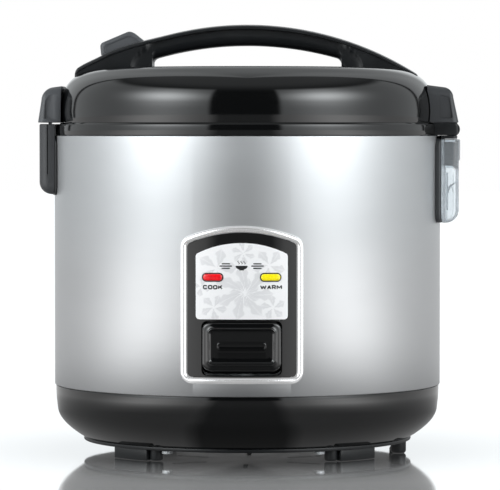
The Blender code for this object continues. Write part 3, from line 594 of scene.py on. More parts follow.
def lens(name, deep, bright):
    """A tinted lamp lens that glows a little."""
    s = surface(name, bright, (900.0, 2.0, deep, bright), (1200.0, 3.0, 0.10, 0.16), roughness=0.12, ior=1.5,
                coat_weight=0.5, coat_roughness=0.05)
    s.glow(0.18, bright)
    return s.material


def clear_plastic():
    """Clear moulded plastic, faintly blue, with a milky trace where it is seen edge on."""
    s = surface("clear_plastic", (0.86, 0.91, 0.95), (70.0, 3.0, (0.845, 0.90, 0.94), (0.875, 0.92, 0.955)),
                (300.0, 3.0, 0.03, 0.08), (60.0, 3.0, 0.00003, 0.3), roughness=0.04, ior=1.45,
                transmission_weight=1.0)
    facing = s.nodes.new("ShaderNodeLayerWeight")
    facing.inputs["Blend"].default_value = 0.35
    s.link(s.range(facing.outputs["Facing"], 0.2, 0.9, 0.86, 0.45), s.inputs["Transmission Weight"])
    return s.material


def soft_matt(name, color, low=0.48, high=0.60):
    """Rubber, wire jacket, ferrite and circuit board."""
    return surface(name, color, (80.0, 3.0, shaded(color, 0.93), color), (400.0, 3.0, low, high),
                   (1400.0, 3.0, 0.00002, 0.4), roughness=low).material


def ink():
    """Black screen print."""
    return surface("ink", (0.012, 0.012, 0.013), (2500.0, 3.0, (0.010, 0.010, 0.011), (0.020, 0.020, 0.021)),
                   (1800.0, 3.0, 0.30, 0.42), roughness=0.35).material


STEEL = brushed_steel()
GLOSS = gloss_black()
SATIN = satin_black()
GRAINED = grained_black("grained_black", 0.040)
# a paler copy of the same grained black: painted light on the latch cap and the button
PAINTED_LIGHT_GRAINED = grained_black("grained_black_painted_light", 0.078)
# the trim's glow is painted light: the frame glows though it is no lamp
TRIM = plated("bright_trim_painted_glow", (0.95, 0.955, 0.965), 0.20, 0.26, glow=0.32)
CLEAR = clear_plastic()
LABEL = label_print()
INK = ink()
SILICONE = soft_matt("silicone", (0.62, 0.62, 0.60))
MATERIALS = {
    "steel": plated("spring_steel", (0.56, 0.57, 0.58), 0.22, 0.30),
    "black_gloss": GLOSS,
    "black_satin": SATIN,
    "chrome": plated("chrome", (0.95, 0.955, 0.965), 0.20, 0.25),
    "aluminium": plated("aluminium", (0.66, 0.665, 0.67), 0.26, 0.36, grain=500.0),
    "nonstick": nonstick(),
    "zinc_sheet": sheet_metal(),
    "silver_label": LABEL,
    "red_lens": lens("red_lens", (0.62, 0.004, 0.010), (0.86, 0.010, 0.016)),
    "amber_lens": lens("amber_lens", (0.80, 0.66, 0.006), (1.0, 0.86, 0.010)),
    "clear_plastic": CLEAR,
    "silicone": SILICONE,
    "brass": plated("brass", (0.70, 0.50, 0.20), 0.20, 0.32),
    "board": soft_matt("circuit_board", (0.03, 0.18, 0.07), 0.35, 0.45),
    "magnet": soft_matt("ferrite", (0.06, 0.06, 0.065), 0.42, 0.52),
    "wire_white": soft_matt("wire_jacket", (0.74, 0.74, 0.71)),
}


def paint_cad_nodes():
    for name, node in frame["nodes"].items():
        node.data.materials.clear()
        node.data.materials.append(MATERIALS[SLOT_OF[name]])


# Body

def make_jacket():
    """The steel skin, open behind the control panel."""
    profile = fillet(rect(BODY_R - SHEET, JACKET_LOW, BODY_R, JACKET_HIGH), 0.00035, steps=3)
    jacket = piece("jacket_skin", turn(profile), STEEL, "body", "outer_jacket")
    carve(jacket, block((-0.0300, -0.1400, 0.0545), (0.0300, -0.1000, 0.1400)))


def base_side(inset=0.0, steps=26):
    """The base's rounded side, from its shoulder down to its underside."""
    return bezier((0.1232 - inset, 0.0275), (0.1222 - inset, 0.0190 + inset),
                  (0.1067 - inset, BASE_LOW + inset), steps)


def make_base():
    """The moulded base: a round-shouldered skirt with an inner wall, open for the inlet at the back."""
    lip = 0.0985
    shoulder = [(0.1214, 0.0480), (0.1236, 0.0480), (0.1236, 0.0428), (0.1243, 0.0428), (0.1240, 0.0345)]
    outside = fillet(shoulder, [0.0004, 0.0004, 0, 0.0005, 0.003], closed=False)
    profile = outside + base_side() + [(lip, BASE_LOW), (lip, BASE_LOW + WALL)] + base_side(WALL, 12)[::-1]
    base = piece("base_skirt", turn(profile), GLOSS, "body", "base_shell")
    carve(base, block((-0.0150, 0.1050, 0.0205), (0.0150, 0.1400, 0.0395)))


def make_bottom():
    """The bottom plate with its feet: four arc blocks with a post each, and two posts by the hinge."""
    low, high = 0.0070, 0.0093
    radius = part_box("bottom_plate")[1].x
    profile = fillet(rect(0.0, low, radius, high), [0, 0.0006, 0.0004, 0])
    plate = piece("bottom_cover", turn(profile, 160), SATIN, "body", "bottom_plate")
    cuts = []
    for i in range(6):
        turn_by = math.radians(60 * i + 30)
        along = Vector((math.cos(turn_by), math.sin(turn_by)))
        across = Vector((-along.y, along.x)) * 0.0016
        slot = [along * reach + across * way for reach, way in rect(0.030, -1, 0.055, 1)]
        cuts.append(tool(loft(flat(slot, 0.0, 0.02))))
    for i in range(4):
        box_low, box_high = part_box(f"base_screw_{i + 1}")
        centre = (box_low + box_high) / 2
        cuts.append(column(0.0019, 0.0, 0.02, (centre.x, centre.y), 24))
    carve(plate, *cuts)
    top = low + 0.0010
    for i, start in enumerate((-54.5, 38.0, 125.5, 218.0)):
        end = start + 16.5
        ring = arc((0, 0), 0.1048, start, end, 14) + arc((0, 0), 0.0940, end, start, 14)
        foot = piece(f"foot_{i + 1}", loft(flat(ring, 0.0, top)), SATIN, "body", slot="black_satin")
        soften(foot, 0.0007, 3)
    posts = [(0.0990, a, 0.0043) for a in (-56.5, 56.5, 123.5, 236.5)]
    posts += [(0.1012, a, 0.0050) for a in (-15.0, 15.0)]
    for i, (reach, angle, radius) in enumerate(posts):
        place = (reach * math.cos(math.radians(angle)), reach * math.sin(math.radians(angle)))
        profile = fillet(rect(0.0, 0.0, radius, top), [0, radius * 0.35, 0, 0], 5)
        piece(f"foot_post_{i + 1}", turn(profile, 40, place), SATIN, "body", slot="black_satin")


def make_ring():
    """The collar below the lid, its inner ledge for the pot, and the hinge ears."""
    profile = [(0.1060, 0.2025), (0.1214, 0.2025), (0.1214, 0.1965), (0.1236, 0.1965), (0.1236, RING_LOW),
               (RING_R, RING_LOW), (RING_R + 0.0002, 0.2075), (RING_R, RING_HIGH), (0.1216, RING_HIGH),
               (0.1212, BEAD_HIGH), (0.1194, BEAD_HIGH), (0.1190, RING_HIGH), (0.1185, RING_HIGH),
               (0.1172, 0.2056), (0.1060, 0.2056)]
    radii = [0.0004, 0, 0, 0, 0, 0.0008, 0.02, 0.0007, 0, 0.0002, 0.0002, 0, 0.0010, 0.0010, 0.0005]
    ring = piece("collar", turn(fillet(profile, radii)), GLOSS, "body", "upper_ring")
    outline = fillet(rect(0.1195, RING_LOW, 0.1354, BEAD_HIGH), [0, 0.0014, 0.0030, 0], 6)
    for i, (low, high) in enumerate([(-BLOCK_HALF, -KNUCKLE_ROOM), (KNUCKLE_ROOM, BLOCK_HALF)]):
        ear = piece(f"hinge_ear_{i + 1}", along_y(outline, low, high), SATIN, "body", slot="black_gloss")
        soften(ear, 0.0006, 3)
        carve(ear, column(0.1192, 0.19, 0.23, segments=ROUND), hinge_rod(0.0285, PIN_BORE))
    carve(ring, block((0.1205, -KNUCKLE_ROOM, 0.2085), (0.1300, KNUCKLE_ROOM, 0.2200)),
          hinge_rod(KNUCKLE_ROOM, 0.0054))


def make_inlet():
    """The appliance inlet: a round-cornered shroud with a deep recess and two pins."""
    outline = fillet(rect(-0.0146, 0.0209, 0.0146, 0.0391), 0.0024, 6)
    inlet = piece("inlet_shroud", along_y(outline, 0.1040, 0.1262), SATIN, "body", "power_inlet")
    recess = fillet(rect(-0.0122, 0.0233, 0.0122, 0.0367), 0.0018, 6)
    pin_height = 0.030
    cuts = [rod_y((x, pin_height), 0.095, 0.14, 0.0023) for x in (-0.0055, 0.0055)]
    soften(carve(inlet, tool(along_y(recess, 0.1105, 0.1400)), *cuts), 0.0004, 2, angle=60)
    for node in ("inlet_pin_live", "inlet_pin_neutral"):
        low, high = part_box(node)
        x, radius = (low.x + high.x) / 2, (high.x - low.x) / 2
        tapers = ((low.y, radius), (high.y - 0.0018, radius), (high.y - 0.0006, radius * 0.8),
                  (high.y, radius * 0.35))
        rings = [[(x + a, y, pin_height + b) for a, b in circle(r, 24)] for y, r in tapers]
        piece(node + "_fine", loft(rings), MATERIALS["brass"], "body", node)


# Pot and the lid's underside

def make_pot():
    outer = arc((0.0850, 0.0822), 0.0180, -90, 0, 14)
    inner = arc((0.0850, 0.0822), 0.0164, 0, -90, 14)
    rim = fillet([(0.1030, 0.2040), (0.1030, 0.2060), (0.1145, 0.2060), (0.1145, 0.2075), (0.1014, 0.2075),
                  (0.1014, 0.2040)], [0, 0.0008, 0.0007, 0.0007, 0.0016, 0], 4, closed=False)
    marks = [(0.1014, z) for z in (0.1800, 0.1400)]
    profile = [(0.0, 0.0642)] + outer + rim + marks + inner + [(0.0, 0.0658)]
    piece("cooking_pot", turn(profile), MATERIALS["nonstick"], "body", "inner_pot")
    angles = [math.radians(173 + 14 * k / 24) for k in range(25)]
    inside, proud = 0.10145, 0.10125
    for i, height in enumerate((0.0900, 0.1120, 0.1340, 0.1560)):
        band = [(inside, height), (proud, height + 0.0002), (proud, height + 0.0006),
                (inside, height + 0.0008)]
        rings = [[(r * math.sin(a), -r * math.cos(a), z) for a in angles] for r, z in band]
        piece(f"level_mark_{i + 1}", loft(rings, around=False, loop=True, caps=False), INK, "body",
              slot="nonstick")


def lid_part(name, profile, radii, material, node, steps=4):
    """A turned piece inside the lid."""
    return piece(name, turn(fillet(profile, radii, steps), LID_ROUND), material, "lid", node)


def make_lid_inside():
    liner = [(0.0035, 0.2185), (0.1000, 0.2185), (0.1030, 0.2125), (0.1188, 0.2125), (0.1188, 0.2145),
             (0.1040, 0.2145), (0.1010, 0.2205), (0.0035, 0.2205)]
    liner = lid_part("lid_liner_fine", liner, [0, 0.002, 0.0015, 0.0006, 0.0006, 0.001, 0.001, 0], SATIN,
                     "lid_liner")
    carve(liner, block((0.1100, -0.0212, 0.2000), (0.1300, 0.0212, 0.2300)),
          column(0.0060, 0.2100, 0.2300, (VENT.x, VENT.y)))
    plate = [(0.0035, 0.2150)]
    for r in (0.0300, 0.0600):
        plate += [(r, 0.2150), (r + 0.0012, 0.2142), (r + 0.0030, 0.2142), (r + 0.0042, 0.2150)]
    plate += [(0.0900, 0.2150), (0.1000, 0.2095), (0.1085, 0.2095)]
    plate += [(r, z + 0.0008) for r, z in plate[::-1]]
    plate = lid_part("inner_lid_fine", plate, 0.0006, MATERIALS["aluminium"], "inner_lid", 3)
    carve(plate, *[column(0.0014, 0.21, 0.22, centre, 20) for centre in circle(0.0760, 12)])
    gasket = [(0.1030, 0.2079), (0.1110, 0.2079), (0.1120, 0.2088), (0.1120, 0.2106), (0.1106, 0.2112),
              (0.1089, 0.2108), (0.1089, 0.2092), (0.1030, 0.2092)]
    lid_part("gasket_fine", gasket, 0.0005, SILICONE, "lid_gasket", 3)
    retainer = [(0.0, 0.2125), (0.0080, 0.2130), (0.0095, 0.2140), (0.0095, 0.2147), (0.0031, 0.2147),
                (0.0031, 0.2208), (0.0060, 0.2208), (0.0055, 0.2225), (0.0, 0.2230)]
    retainer = fillet(retainer, [0, 0.002, 0.0008, 0.0002, 0, 0, 0.0004, 0.001, 0])
    piece("retainer_fine", turn(retainer, SMALL_ROUND), SILICONE, "lid", "lid_retainer")


# Lid

def lid_side(inset=0.0, steps=34):
    """The lid's outside from its rim to its middle, or a line at a depth of inset below it."""
    crown_r, crown_z = 0.0924, 0.2472
    side = [(LID_R - inset, LID_LOW), (0.1214 - inset, 0.2190)]
    shoulder = bezier((0.1210 - inset, 0.2232), (0.1194 - inset, 0.2463 - inset), (crown_r, crown_z - inset),
                      steps)
    crown = [(r, crown_z - inset + (LID_HIGH - crown_z) * (1 - (r / crown_r) ** 2))
             for r in (0.078, 0.064, 0.050, 0.036, 0.022, 0.010, 0.0)]
    return side + shoulder + crown


def lid_height(radius):
    """Height of the lid's outside at a radius."""
    profile = lid_side()[::-1]
    for (r0, z0), (r1, z1) in zip(profile, profile[1:]):
        if r0 <= radius <= r1:
            return z0 + (z1 - z0) * (radius - r0) / (r1 - r0)
    return LID_LOW


def lid_room():
    """The room the closed lid fills, with a small gap, for cutting."""
    gap, low = 0.0005, 0.2000
    return tool(turn([(0.0, low), (LID_R + gap, low)] + lid_side(-gap)))


def make_lid():
    """The dome, open for the vent, the button's stem, the latch lever and the hinge knuckle."""
    profile = lid_side() + lid_side(WALL, 14)[::-1]
    lid = piece("lid_dome", turn(profile), GLOSS, "lid", "lid_shell")
    carve(lid, column(0.0211, 0.2300, 0.2600, (VENT.x, VENT.y)),
          block((-0.0900, -0.0060, 0.2400), (-0.0740, 0.0060, 0.2600)),
          block((-0.1400, -0.0062, 0.2228), (-0.1080, 0.0062, 0.2342)),
          block((0.1100, -0.0212, 0.2000), (0.1400, 0.0212, 0.2225)))


def make_vent():
    """The vent's silicone seat, and its cap with three slots."""
    place = (VENT.x, VENT.y)
    radius, low = 0.0206, 0.2208
    seat = [(0.0060, low), (radius - 0.0004, low), (radius - 0.0004, 0.2450), (radius - 0.0018, 0.2450),
            (radius - 0.0018, 0.2224), (0.0060, 0.2224)]
    piece("vent_seat_fine", turn(fillet(seat, 0.0004, 3), SMALL_ROUND, place), SILICONE, "lid", "vent_seat")
    cap = [(0.0, 0.2464), (0.0165, 0.2464), (0.0165, 0.2300), (0.0180, 0.2300), (0.0180, 0.2460),
           (radius, 0.2460), (radius, 0.2476), (0.0130, 0.2482), (0.0118, 0.2474), (0.0, 0.2474)]
    cap = fillet(cap, [0, 0.0004, 0.0004, 0.0004, 0, 0.0004, 0.0009, 0.0006, 0.0006, 0])
    cap = piece("vent_cap_fine", turn(cap, 96, place), SATIN, "vent", "vent_cap")
    slots = []
    for y in (-0.0050, 0.0, 0.0050):
        slot = fillet(rect(-0.0070, y - 0.0007, 0.0070, y + 0.0007), 0.0006)
        slot = [(VENT.x + a, VENT.y + b) for a, b in slot]
        slots.append(tool(loft(flat(slot, 0.24, 0.26))))
    carve(cap, *slots)


def handle_line(x):
    """The handle's top line, a little fuller at the button."""
    swell = 0.0031 * smooth(-x, 0.050, 0.095) + 0.0009 * smooth(-x, 0.095, 0.108)
    return HANDLE_TOP - HANDLE_R + math.sqrt(HANDLE_R ** 2 - x * x) + swell


def handle_ring(x):
    """One cross-section of the handle at x: a crowned strap over the grip, or over the web at each end."""
    reach = abs(x)
    tip = max(reach - (HANDLE_HALF - TIP), 0.0) / TIP
    droop = 1 - math.sqrt(max(1 - tip * tip, 0.0))
    top = handle_line(x) - 0.0030 * droop
    arch = GRIP_TOP - GRIP_R + math.sqrt(GRIP_R ** 2 - min(reach, GRIP_HALF) ** 2)
    if reach < GRIP_HALF - GRIP_ROUND:
        bottom = arch
    elif reach <= GRIP_HALF:
        t = (reach - GRIP_HALF + GRIP_ROUND) / GRIP_ROUND
        bottom = arch - GRIP_ROUND * (1 - math.sqrt(max(1 - t * t, 0.0)))
    else:
        bottom = lid_height(reach) - 0.0016
    bottom = min(bottom, top - 0.0012)
    wide = HANDLE_WIDE - 0.0012 * (1 - smooth(reach, 0.020, 0.075)) - 0.0018 * droop
    height = top - bottom
    crown, edge = 0.0010, min(0.0014, height * 0.3)
    band = max(min(0.0031, height * 0.62), edge + crown)
    grip = 1 - smooth(reach, 0.060, 0.066)
    half = [(0.0, top), (wide * 0.5, top - crown * 0.25)]
    half += [(wide - edge + edge * math.sin(a), top - crown - edge * (1 - math.cos(a)))
             for a in (math.radians(d) for d in (0, 18, 36, 54, 72, 90))]
    half.append((wide, top - band))
    low_round = 0.0058 * grip + 0.0003
    start, stop = top - band - 0.0004, bottom + low_round
    for i in range(9):
        z = start + (stop - start) * i / 8
        scoop = 0.0745 - 0.010 * min(max((z - 0.2480) / 0.0125, 0.0), 1.0) ** 2
        t = min(max((reach - scoop + 0.0100) / 0.0100, 0.0), 1.0)
        inset = 0.0011 + 0.0020 * math.sqrt(max(1 - t ** 3.2, 0.0))
        inset *= smooth(height, 0.0030, 0.0080)
        half.append((wide - inset, z))
    last = half[-1][0]
    half += [(last - low_round * (1 - math.cos(a)), stop - low_round * math.sin(a))
             for a in (math.radians(d) for d in (22, 45, 67, 90))]
    half += [(half[-1][0] * 0.5, bottom), (0.0, bottom)]
    ring = half + [(-y, z) for y, z in half[-2:0:-1]]
    return [(x, y, z) for y, z in ring]


def make_handle():
    """The carrying arch, with a pocket for the button and a hole for its stem."""
    web, foot, tip = 0.0760, GRIP_HALF - GRIP_ROUND, HANDLE_HALF - TIP
    reaches = [foot * i / 26 for i in range(26)]
    reaches += [foot + GRIP_ROUND * math.sin(math.radians(90 * i / 7)) for i in range(8)]
    reaches += [GRIP_HALF + 0.00005 + (web - GRIP_HALF) * i / 22 for i in range(23)]
    reaches += [web + (tip - web) * i / 22 for i in range(1, 23)]
    reaches += [tip + TIP * math.sin(math.radians(88 * i / 7)) for i in range(1, 8)]
    places = [-r for r in reaches[::-1]] + reaches[1:]
    rings = [handle_ring(x) for x in places]
    handle = piece("handle_arch", loft(rings), SATIN, "lid", "lid_handle", sharp=38.0)
    carve(handle, button_bar(rect(-0.0150, -0.0098, 0.0145, 0.02), 0.0127),
          button_bar(rect(-0.0118, -0.03, -0.0042, 0.01), 0.0050), sharp=38.0)


def button_bar(outline, half):
    """An outline in the button's frame extruded across it, for cutting and joining."""
    return tool(along_y([button_place(*p) for p in outline], -half, half))


def button_place(along, out):
    """A point in the release button's own frame, along the handle and out from it, as (x, z)."""
    x = HANDLE_R * math.sin(BUTTON_LEAN)
    z = HANDLE_TOP - HANDLE_R + HANDLE_R * math.cos(BUTTON_LEAN)
    return (x + along * math.cos(BUTTON_LEAN) + out * math.sin(BUTTON_LEAN),
            z - along * math.sin(BUTTON_LEAN) + out * math.cos(BUTTON_LEAN))


def button_ring(side, inset):
    """The button's outline in from its edge by inset, at one place across it."""
    outline = [(-0.0145 + inset, -0.0021), (-0.0145 + inset, 0.0026), (-0.0124 + inset, 0.0094 - inset),
               (0.0092 - inset * 0.6, 0.0094 - inset), (0.0140 - inset, 0.0006), (0.0140 - inset, -0.0046),
               (-0.0046, -0.0046), (-0.0112, -0.0033)]
    rounded = fillet(outline, [0, 0.004, 0.0030, 0.0046, 0.0012, 0.0004, 0, 0], 6)
    return [(x, side, z) for x, z in (button_place(*p) for p in rounded)]


def make_button():
    """The release button: a soft block with bevelled edges and a shallow panel on each side, and its stem."""
    half = BUTTON_HALF
    levels = [(half - 0.0007, 0.0036), (half - 0.0007, 0.0031), (half, 0.0024), (half, 0.0019),
              (half - 0.0003, 0.0010), (half - 0.0010, 0.0003), (half - 0.0020, 0.0)]
    sides = [(-y, inset) for y, inset in levels] + levels[::-1]
    rings = [button_ring(side, inset) for side, inset in sides]
    # the button's paler grained black is painted light
    button = piece("button_cap", loft(rings), PAINTED_LIGHT_GRAINED, "button", "release_button", sharp=50.0)
    carve(button, button_bar(rect(-0.0114, -0.0181, -0.0046, -0.0015), 0.0044), how="UNION", sharp=50.0)


# Latch and hinge blocks

def block_rings(inner, outer, half, radius, side, levels, slope=0.0):
    """Rings of a block that stands out from the body, with two round outer corners.

    side is -1 or 1 along X, and levels are (height, x inset, y inset). slope lifts the block's top towards
    the body.
    """
    low, high = levels[0][0], levels[-1][0]
    rings = []
    for height, x_in, y_in in levels:
        corner = max(radius - x_in * 0.5, 0.0004)
        plan = fillet(rect(inner, y_in - half, outer - x_in, half - y_in), [0, corner, corner, 0], 7)
        rise = slope * (height - low) / (high - low)
        rings.append([(side * x, y, height + rise * (outer - x)) for x, y in plan])
    return rings


def rounded_top(lean, radius, steps=7):
    """Levels of a block on the lid's rim that leans in as it rises and ends in a round shoulder."""
    y_lean = 0.0010
    shoulder = BLOCK_TOP - radius
    levels = [(LID_LOW, 0.0003, 0.0003), (LID_LOW + 0.0004, 0.0, 0.0), (shoulder, lean, y_lean)]
    for i in range(1, steps + 1):
        a = math.radians(90 * i / steps)
        inset = radius * (1 - math.cos(a))
        levels.append((shoulder + radius * math.sin(a), lean + inset, y_lean + inset))
    return levels


def rounded_foot(low, radius, steps, y_share, x_in=0.0, y_in=0.0):
    """Levels of a block's round lower edge, from its underside up. y_share is how much its ends follow."""
    levels = []
    for i in range(steps + 1):
        a = math.radians(90 - 90 * i / steps)
        inset = radius * (1 - math.cos(a))
        levels.append((low + radius * (1 - math.sin(a)), x_in + inset, y_in + inset * y_share))
    return levels


def sunk_panel(points, inset_y):
    """Cutters that sink a panel into a block's front and back faces."""
    return [tool(along_y(points, *sorted((way * inset_y, way * 0.05)))) for way in (-1, 1)]


def plate_loops(low, high, height):
    """A thin back plate bent to the jacket, with round lower corners and softened edges."""
    def outline(inset):
        return rect_loop(BLOCK_HALF + 0.0010 - inset, low + inset, high - inset, 0.0065 - inset, across=30)

    return stepped(outline, [(0.0, FIT), (0.0, height - 0.0005), (0.0002, height - 0.0002), (0.0006, height)])


def make_latch_blocks():
    """The latch's upper block on the lid, its lower block on the collar, and the plate behind it."""
    rings = block_rings(0.1190, -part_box("latch_cover")[0].x - 0.0004, BLOCK_HALF, 0.0042, -1,
                        rounded_top(0.0022, 0.0072), BLOCK_SLOPE)
    # the cap's paler grained black is painted light
    cover = piece("latch_cap", loft(rings), PAINTED_LIGHT_GRAINED, "lid", "latch_cover")
    panel = [(-0.1296, 0.2146), (-0.1288, 0.2262), (-0.1262, 0.2298), (-0.1236, 0.2302), (-0.1236, 0.2146)]
    panel = fillet(panel, [0.001, 0.002, 0.003, 0.001, 0.001], 5)
    carve(cover, lid_room(), block((-0.1318, -0.0060, 0.2000), (-0.1150, 0.0060, 0.2318)),
          *sunk_panel(panel, BLOCK_HALF - 0.0016))
    soften(cover, 0.0004, 2, angle=55)
    house_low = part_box("latch_housing")[0]
    levels = rounded_foot(house_low.z, 0.0080, 8, 0.8)
    levels += [(RING_HIGH - 0.0006, 0.0, 0.0), (RING_HIGH, 0.0006, 0.0006)]
    rings = block_rings(0.1120, -house_low.x - 0.0004, BLOCK_HALF, 0.0062, -1, levels)
    housing = piece("latch_house", loft(rings), GRAINED, "body", "latch_housing")
    hook_room = [(-0.1316, 0.2200), (-0.1316, 0.1985), (-0.1240, 0.1985), (-0.1240, 0.2066),
                 (-0.1262, 0.2070), (-0.1262, 0.2200)]
    carve(housing, column(BODY_R + 0.0017, 0.15, 0.22, segments=ROUND),
          tool(along_y(hook_room, -0.0080, 0.0080)),
          *sunk_panel(rect(-0.1278, 0.1790, -0.1271, 0.2140), BLOCK_HALF - 0.0010))
    plate = bent_loops(plate_loops(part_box("latch_plate")[0].z, RING_LOW - FIT, 0.0014), side_deg=-90)
    piece("latch_back", plate, SATIN, "body", "latch_plate")


def make_hinge_blocks():
    """The hinge's block on the lid, and the knuckle under it."""
    rings = block_rings(0.1160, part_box("hinge_cover")[1].x, BLOCK_HALF, 0.0040, 1,
                        rounded_top(0.0034, 0.0056), BLOCK_SLOPE)
    cover = piece("hinge_cap", loft(rings), GRAINED, "lid", "hinge_cover")
    panel = fillet([(0.1238, 0.2148), (0.1324, 0.2148), (0.1300, 0.2285), (0.1238, 0.2300)], 0.0012, 5)
    carve(cover, lid_room(), block((0.1100, -0.0209, 0.2000), (0.1357, 0.0209, 0.2184)),
          *sunk_panel(panel, BLOCK_HALF - 0.0014))
    outline = arc((HINGE.x, HINGE.z), 0.0047, 50, -200, 40)
    outline += [(0.1262, 0.2108), (0.1262, 0.2130), (0.1140, 0.2130), (0.1140, 0.2180), (0.1320, 0.2180),
                (0.1352, 0.2150)]
    knuckle = piece("hinge_knuckle", along_y(outline, -0.0205, 0.0205), SATIN, "lid", "lid_knuckle")
    soften(knuckle, 0.0004, 3, angle=50)
    carve(knuckle, hinge_rod(0.03, PIN_BORE), hinge_rod(0.0070, 0.0038))


def cup_bead(line, y):
    """A thin moulded bead along a line of (x, z) on the cup's side at y."""
    rings = []
    for i, (x, z) in enumerate(line):
        along = (Vector(line[min(i + 1, len(line) - 1)]) - Vector(line[max(i - 1, 0)])).normalized()
        rings.append([(x - along.y * 0.0005 * c, y + 0.0004 * s, z + along.x * 0.0005 * c)
                      for c, s in circle(1.0, 10)])
    return loft(rings)


def make_dew_cup():
    """The clear cup and the bracket that it clips to."""
    low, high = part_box("dew_bracket")[0].z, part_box("dew_bracket")[1].z
    plate = bent_loops(plate_loops(low, high, 0.0030), side_deg=90)
    piece("dew_plate", plate, GRAINED, "body", "dew_bracket")
    rail = [(0.2017, 0.0004, 0.0004), (0.2020, 0.0, 0.0), (RING_LOW - 0.0005, 0.0, 0.0),
            (RING_LOW - 0.0002, 0.0003, 0.0003)]
    rail = block_rings(0.1250, 0.1352, BLOCK_HALF - 0.0004, 0.0030, 1, rail)
    piece("drip_rail", loft(rail), SATIN, "body", slot="black_satin")
    clip = [(0.1845, 0.0006, 0.0006), (0.1850, 0.0, 0.0), (0.1992, 0.0, 0.0), (0.1998, 0.0006, 0.0006)]
    clip = block_rings(0.1262, 0.1335, 0.0200, 0.0016, 1, clip)
    piece("drip_block", loft(clip), GRAINED, "body", slot="black_satin")
    bottom, cup_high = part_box("dew_cup")[0].z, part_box("dew_cup")[1]
    face, half, wall, radius = cup_high.x, cup_high.y, 0.0014, 0.0085
    below_lip, lip = 0.1876, 0.1886
    setback = 0.0008        # of the face below the lip
    outer = rounded_foot(bottom, radius, 9, 0.7, setback)
    outer += [(below_lip, setback, 0.0), (lip, 0.0, 0.0), (0.2008, 0.0, 0.0), (0.2014, 0.0005, 0.0005)]
    inner = rounded_foot(bottom + wall, radius - wall, 9, 0.7, setback + wall, wall)
    inner += [(below_lip, setback + wall, wall), (lip, wall, wall), (0.2060, wall, wall)]
    cup = piece("dew_cup_shell", loft(block_rings(0.1120, face, half, 0.0056, 1, outer)), CLEAR, "dew_cup",
                "dew_cup")
    carve(cup, column(BODY_R + 0.0035, 0.14, 0.22, segments=ROUND),
          tool(loft(block_rings(0.1301, face, half, 0.0050, 1, inner))),
          block((0.1200, -0.0210, 0.1830), (0.1358, 0.0210, 0.2100)))
    rib = bezier((0.1292, 0.1672), (0.1300, 0.1718), (face - 0.0018, 0.1745), 12)
    seam = [(0.1288, 0.1560), (0.1288, 0.1800)]
    for name, line in (("cup_rib", rib), ("cup_seam", seam)):
        for i, way in enumerate((-1, 1)):
            piece(f"{name}_{i + 1}", cup_bead(line, way * half), CLEAR, "dew_cup", slot="clear_plastic")


# Control panel

def panel_loop(inset):
    """The control panel's outline, in from its edge by inset."""
    return arch_loop(PANEL_HALF - inset, PANEL_LOW + inset, PANEL_HIGH - inset, PANEL_CROWN - inset,
                     max(0.0072 - inset, 0.0012))


def make_panel():
    """The bright frame, and the black panel with its paddle window."""
    foot = 0.0010
    steps = [(0.0, FIT), (0.0, foot)]
    for i in range(1, 13):
        a = math.pi * i / 13
        steps.append((BEZEL * (1 - math.cos(a)) / 2, foot + 0.0024 * math.sin(a) ** 0.9))
    steps += [(BEZEL, foot), (BEZEL, FIT)]
    # the frame's trim glows: painted light
    piece("bright_frame", bent_loops(stepped(panel_loop, steps), fill=False), TRIM, "body", "panel_frame",
          sharp=50.0)
    edge = BEZEL + FIT
    steps = [(edge, FIT), (edge, 0.0013), (edge + 0.0003, 0.0016)]
    plate = piece("panel_plate", bent_loops(stepped(panel_loop, steps)), GLOSS, "body", "panel_body")
    half, low, high = PADDLE_HALF + 0.0007, PADDLE_LOW - 0.0031, PADDLE_HIGH + 0.0008
    collar = rect_loop(half + 0.0014, low - 0.0014, high + 0.0010, 0.0030)
    carve(plate, tool(bent_loops([(collar, -0.0030), (collar, 0.0010)])), how="UNION")
    window = rect_loop(half, low, high, 0.0034)
    carve(plate, tool(bent_loops([(window, -0.0120), (window, 0.0060)])))


def petal_ink(u, z, centre, count, size, spin, slim):
    """Ink density of one rosette of toothed leaves round a centre, from 0 to 1."""
    du, dz = u - centre[0], z - centre[1]
    radius = math.hypot(du, dz) / size
    if radius > 1.05 or radius < 0.06:
        return 0.0
    curl = 0.22 * radius
    wedge = (math.atan2(dz, du) - spin - curl) % (math.tau / count) - math.pi / count
    across = abs(wedge) * count / math.pi
    teeth = 0.10 * math.sin(radius * 19.0)
    reach = slim * math.sin(math.pi * min(radius, 1.0) ** 1.3) ** 0.7 + teeth * smooth(radius, 0.35, 0.6)
    vein = 0.55 if across < 0.06 and radius > 0.25 else 1.0
    return smooth(reach - across, -0.02, 0.12) * vein * (1.0 - 0.35 * radius)


BLOSSOMS = [
    # centre (u, z), leaves, size, spin, slimness
    ((0.0020, 0.1075), 7, 0.0175, 0.20, 0.66),
    ((0.0020, 0.1075), 7, 0.0095, 0.65, 0.60),
    ((-0.0150, 0.1225), 5, 0.0125, 0.50, 0.62),
    ((0.0165, 0.1245), 5, 0.0105, 0.10, 0.60),
    ((-0.0170, 0.0985), 5, 0.0085, 0.30, 0.62),
    ((0.0190, 0.0985), 5, 0.0080, 0.90, 0.62),
    ((0.0010, 0.1320), 6, 0.0075, 0.00, 0.60),
    ((-0.0245, 0.1110), 4, 0.0060, 0.40, 0.60),
]


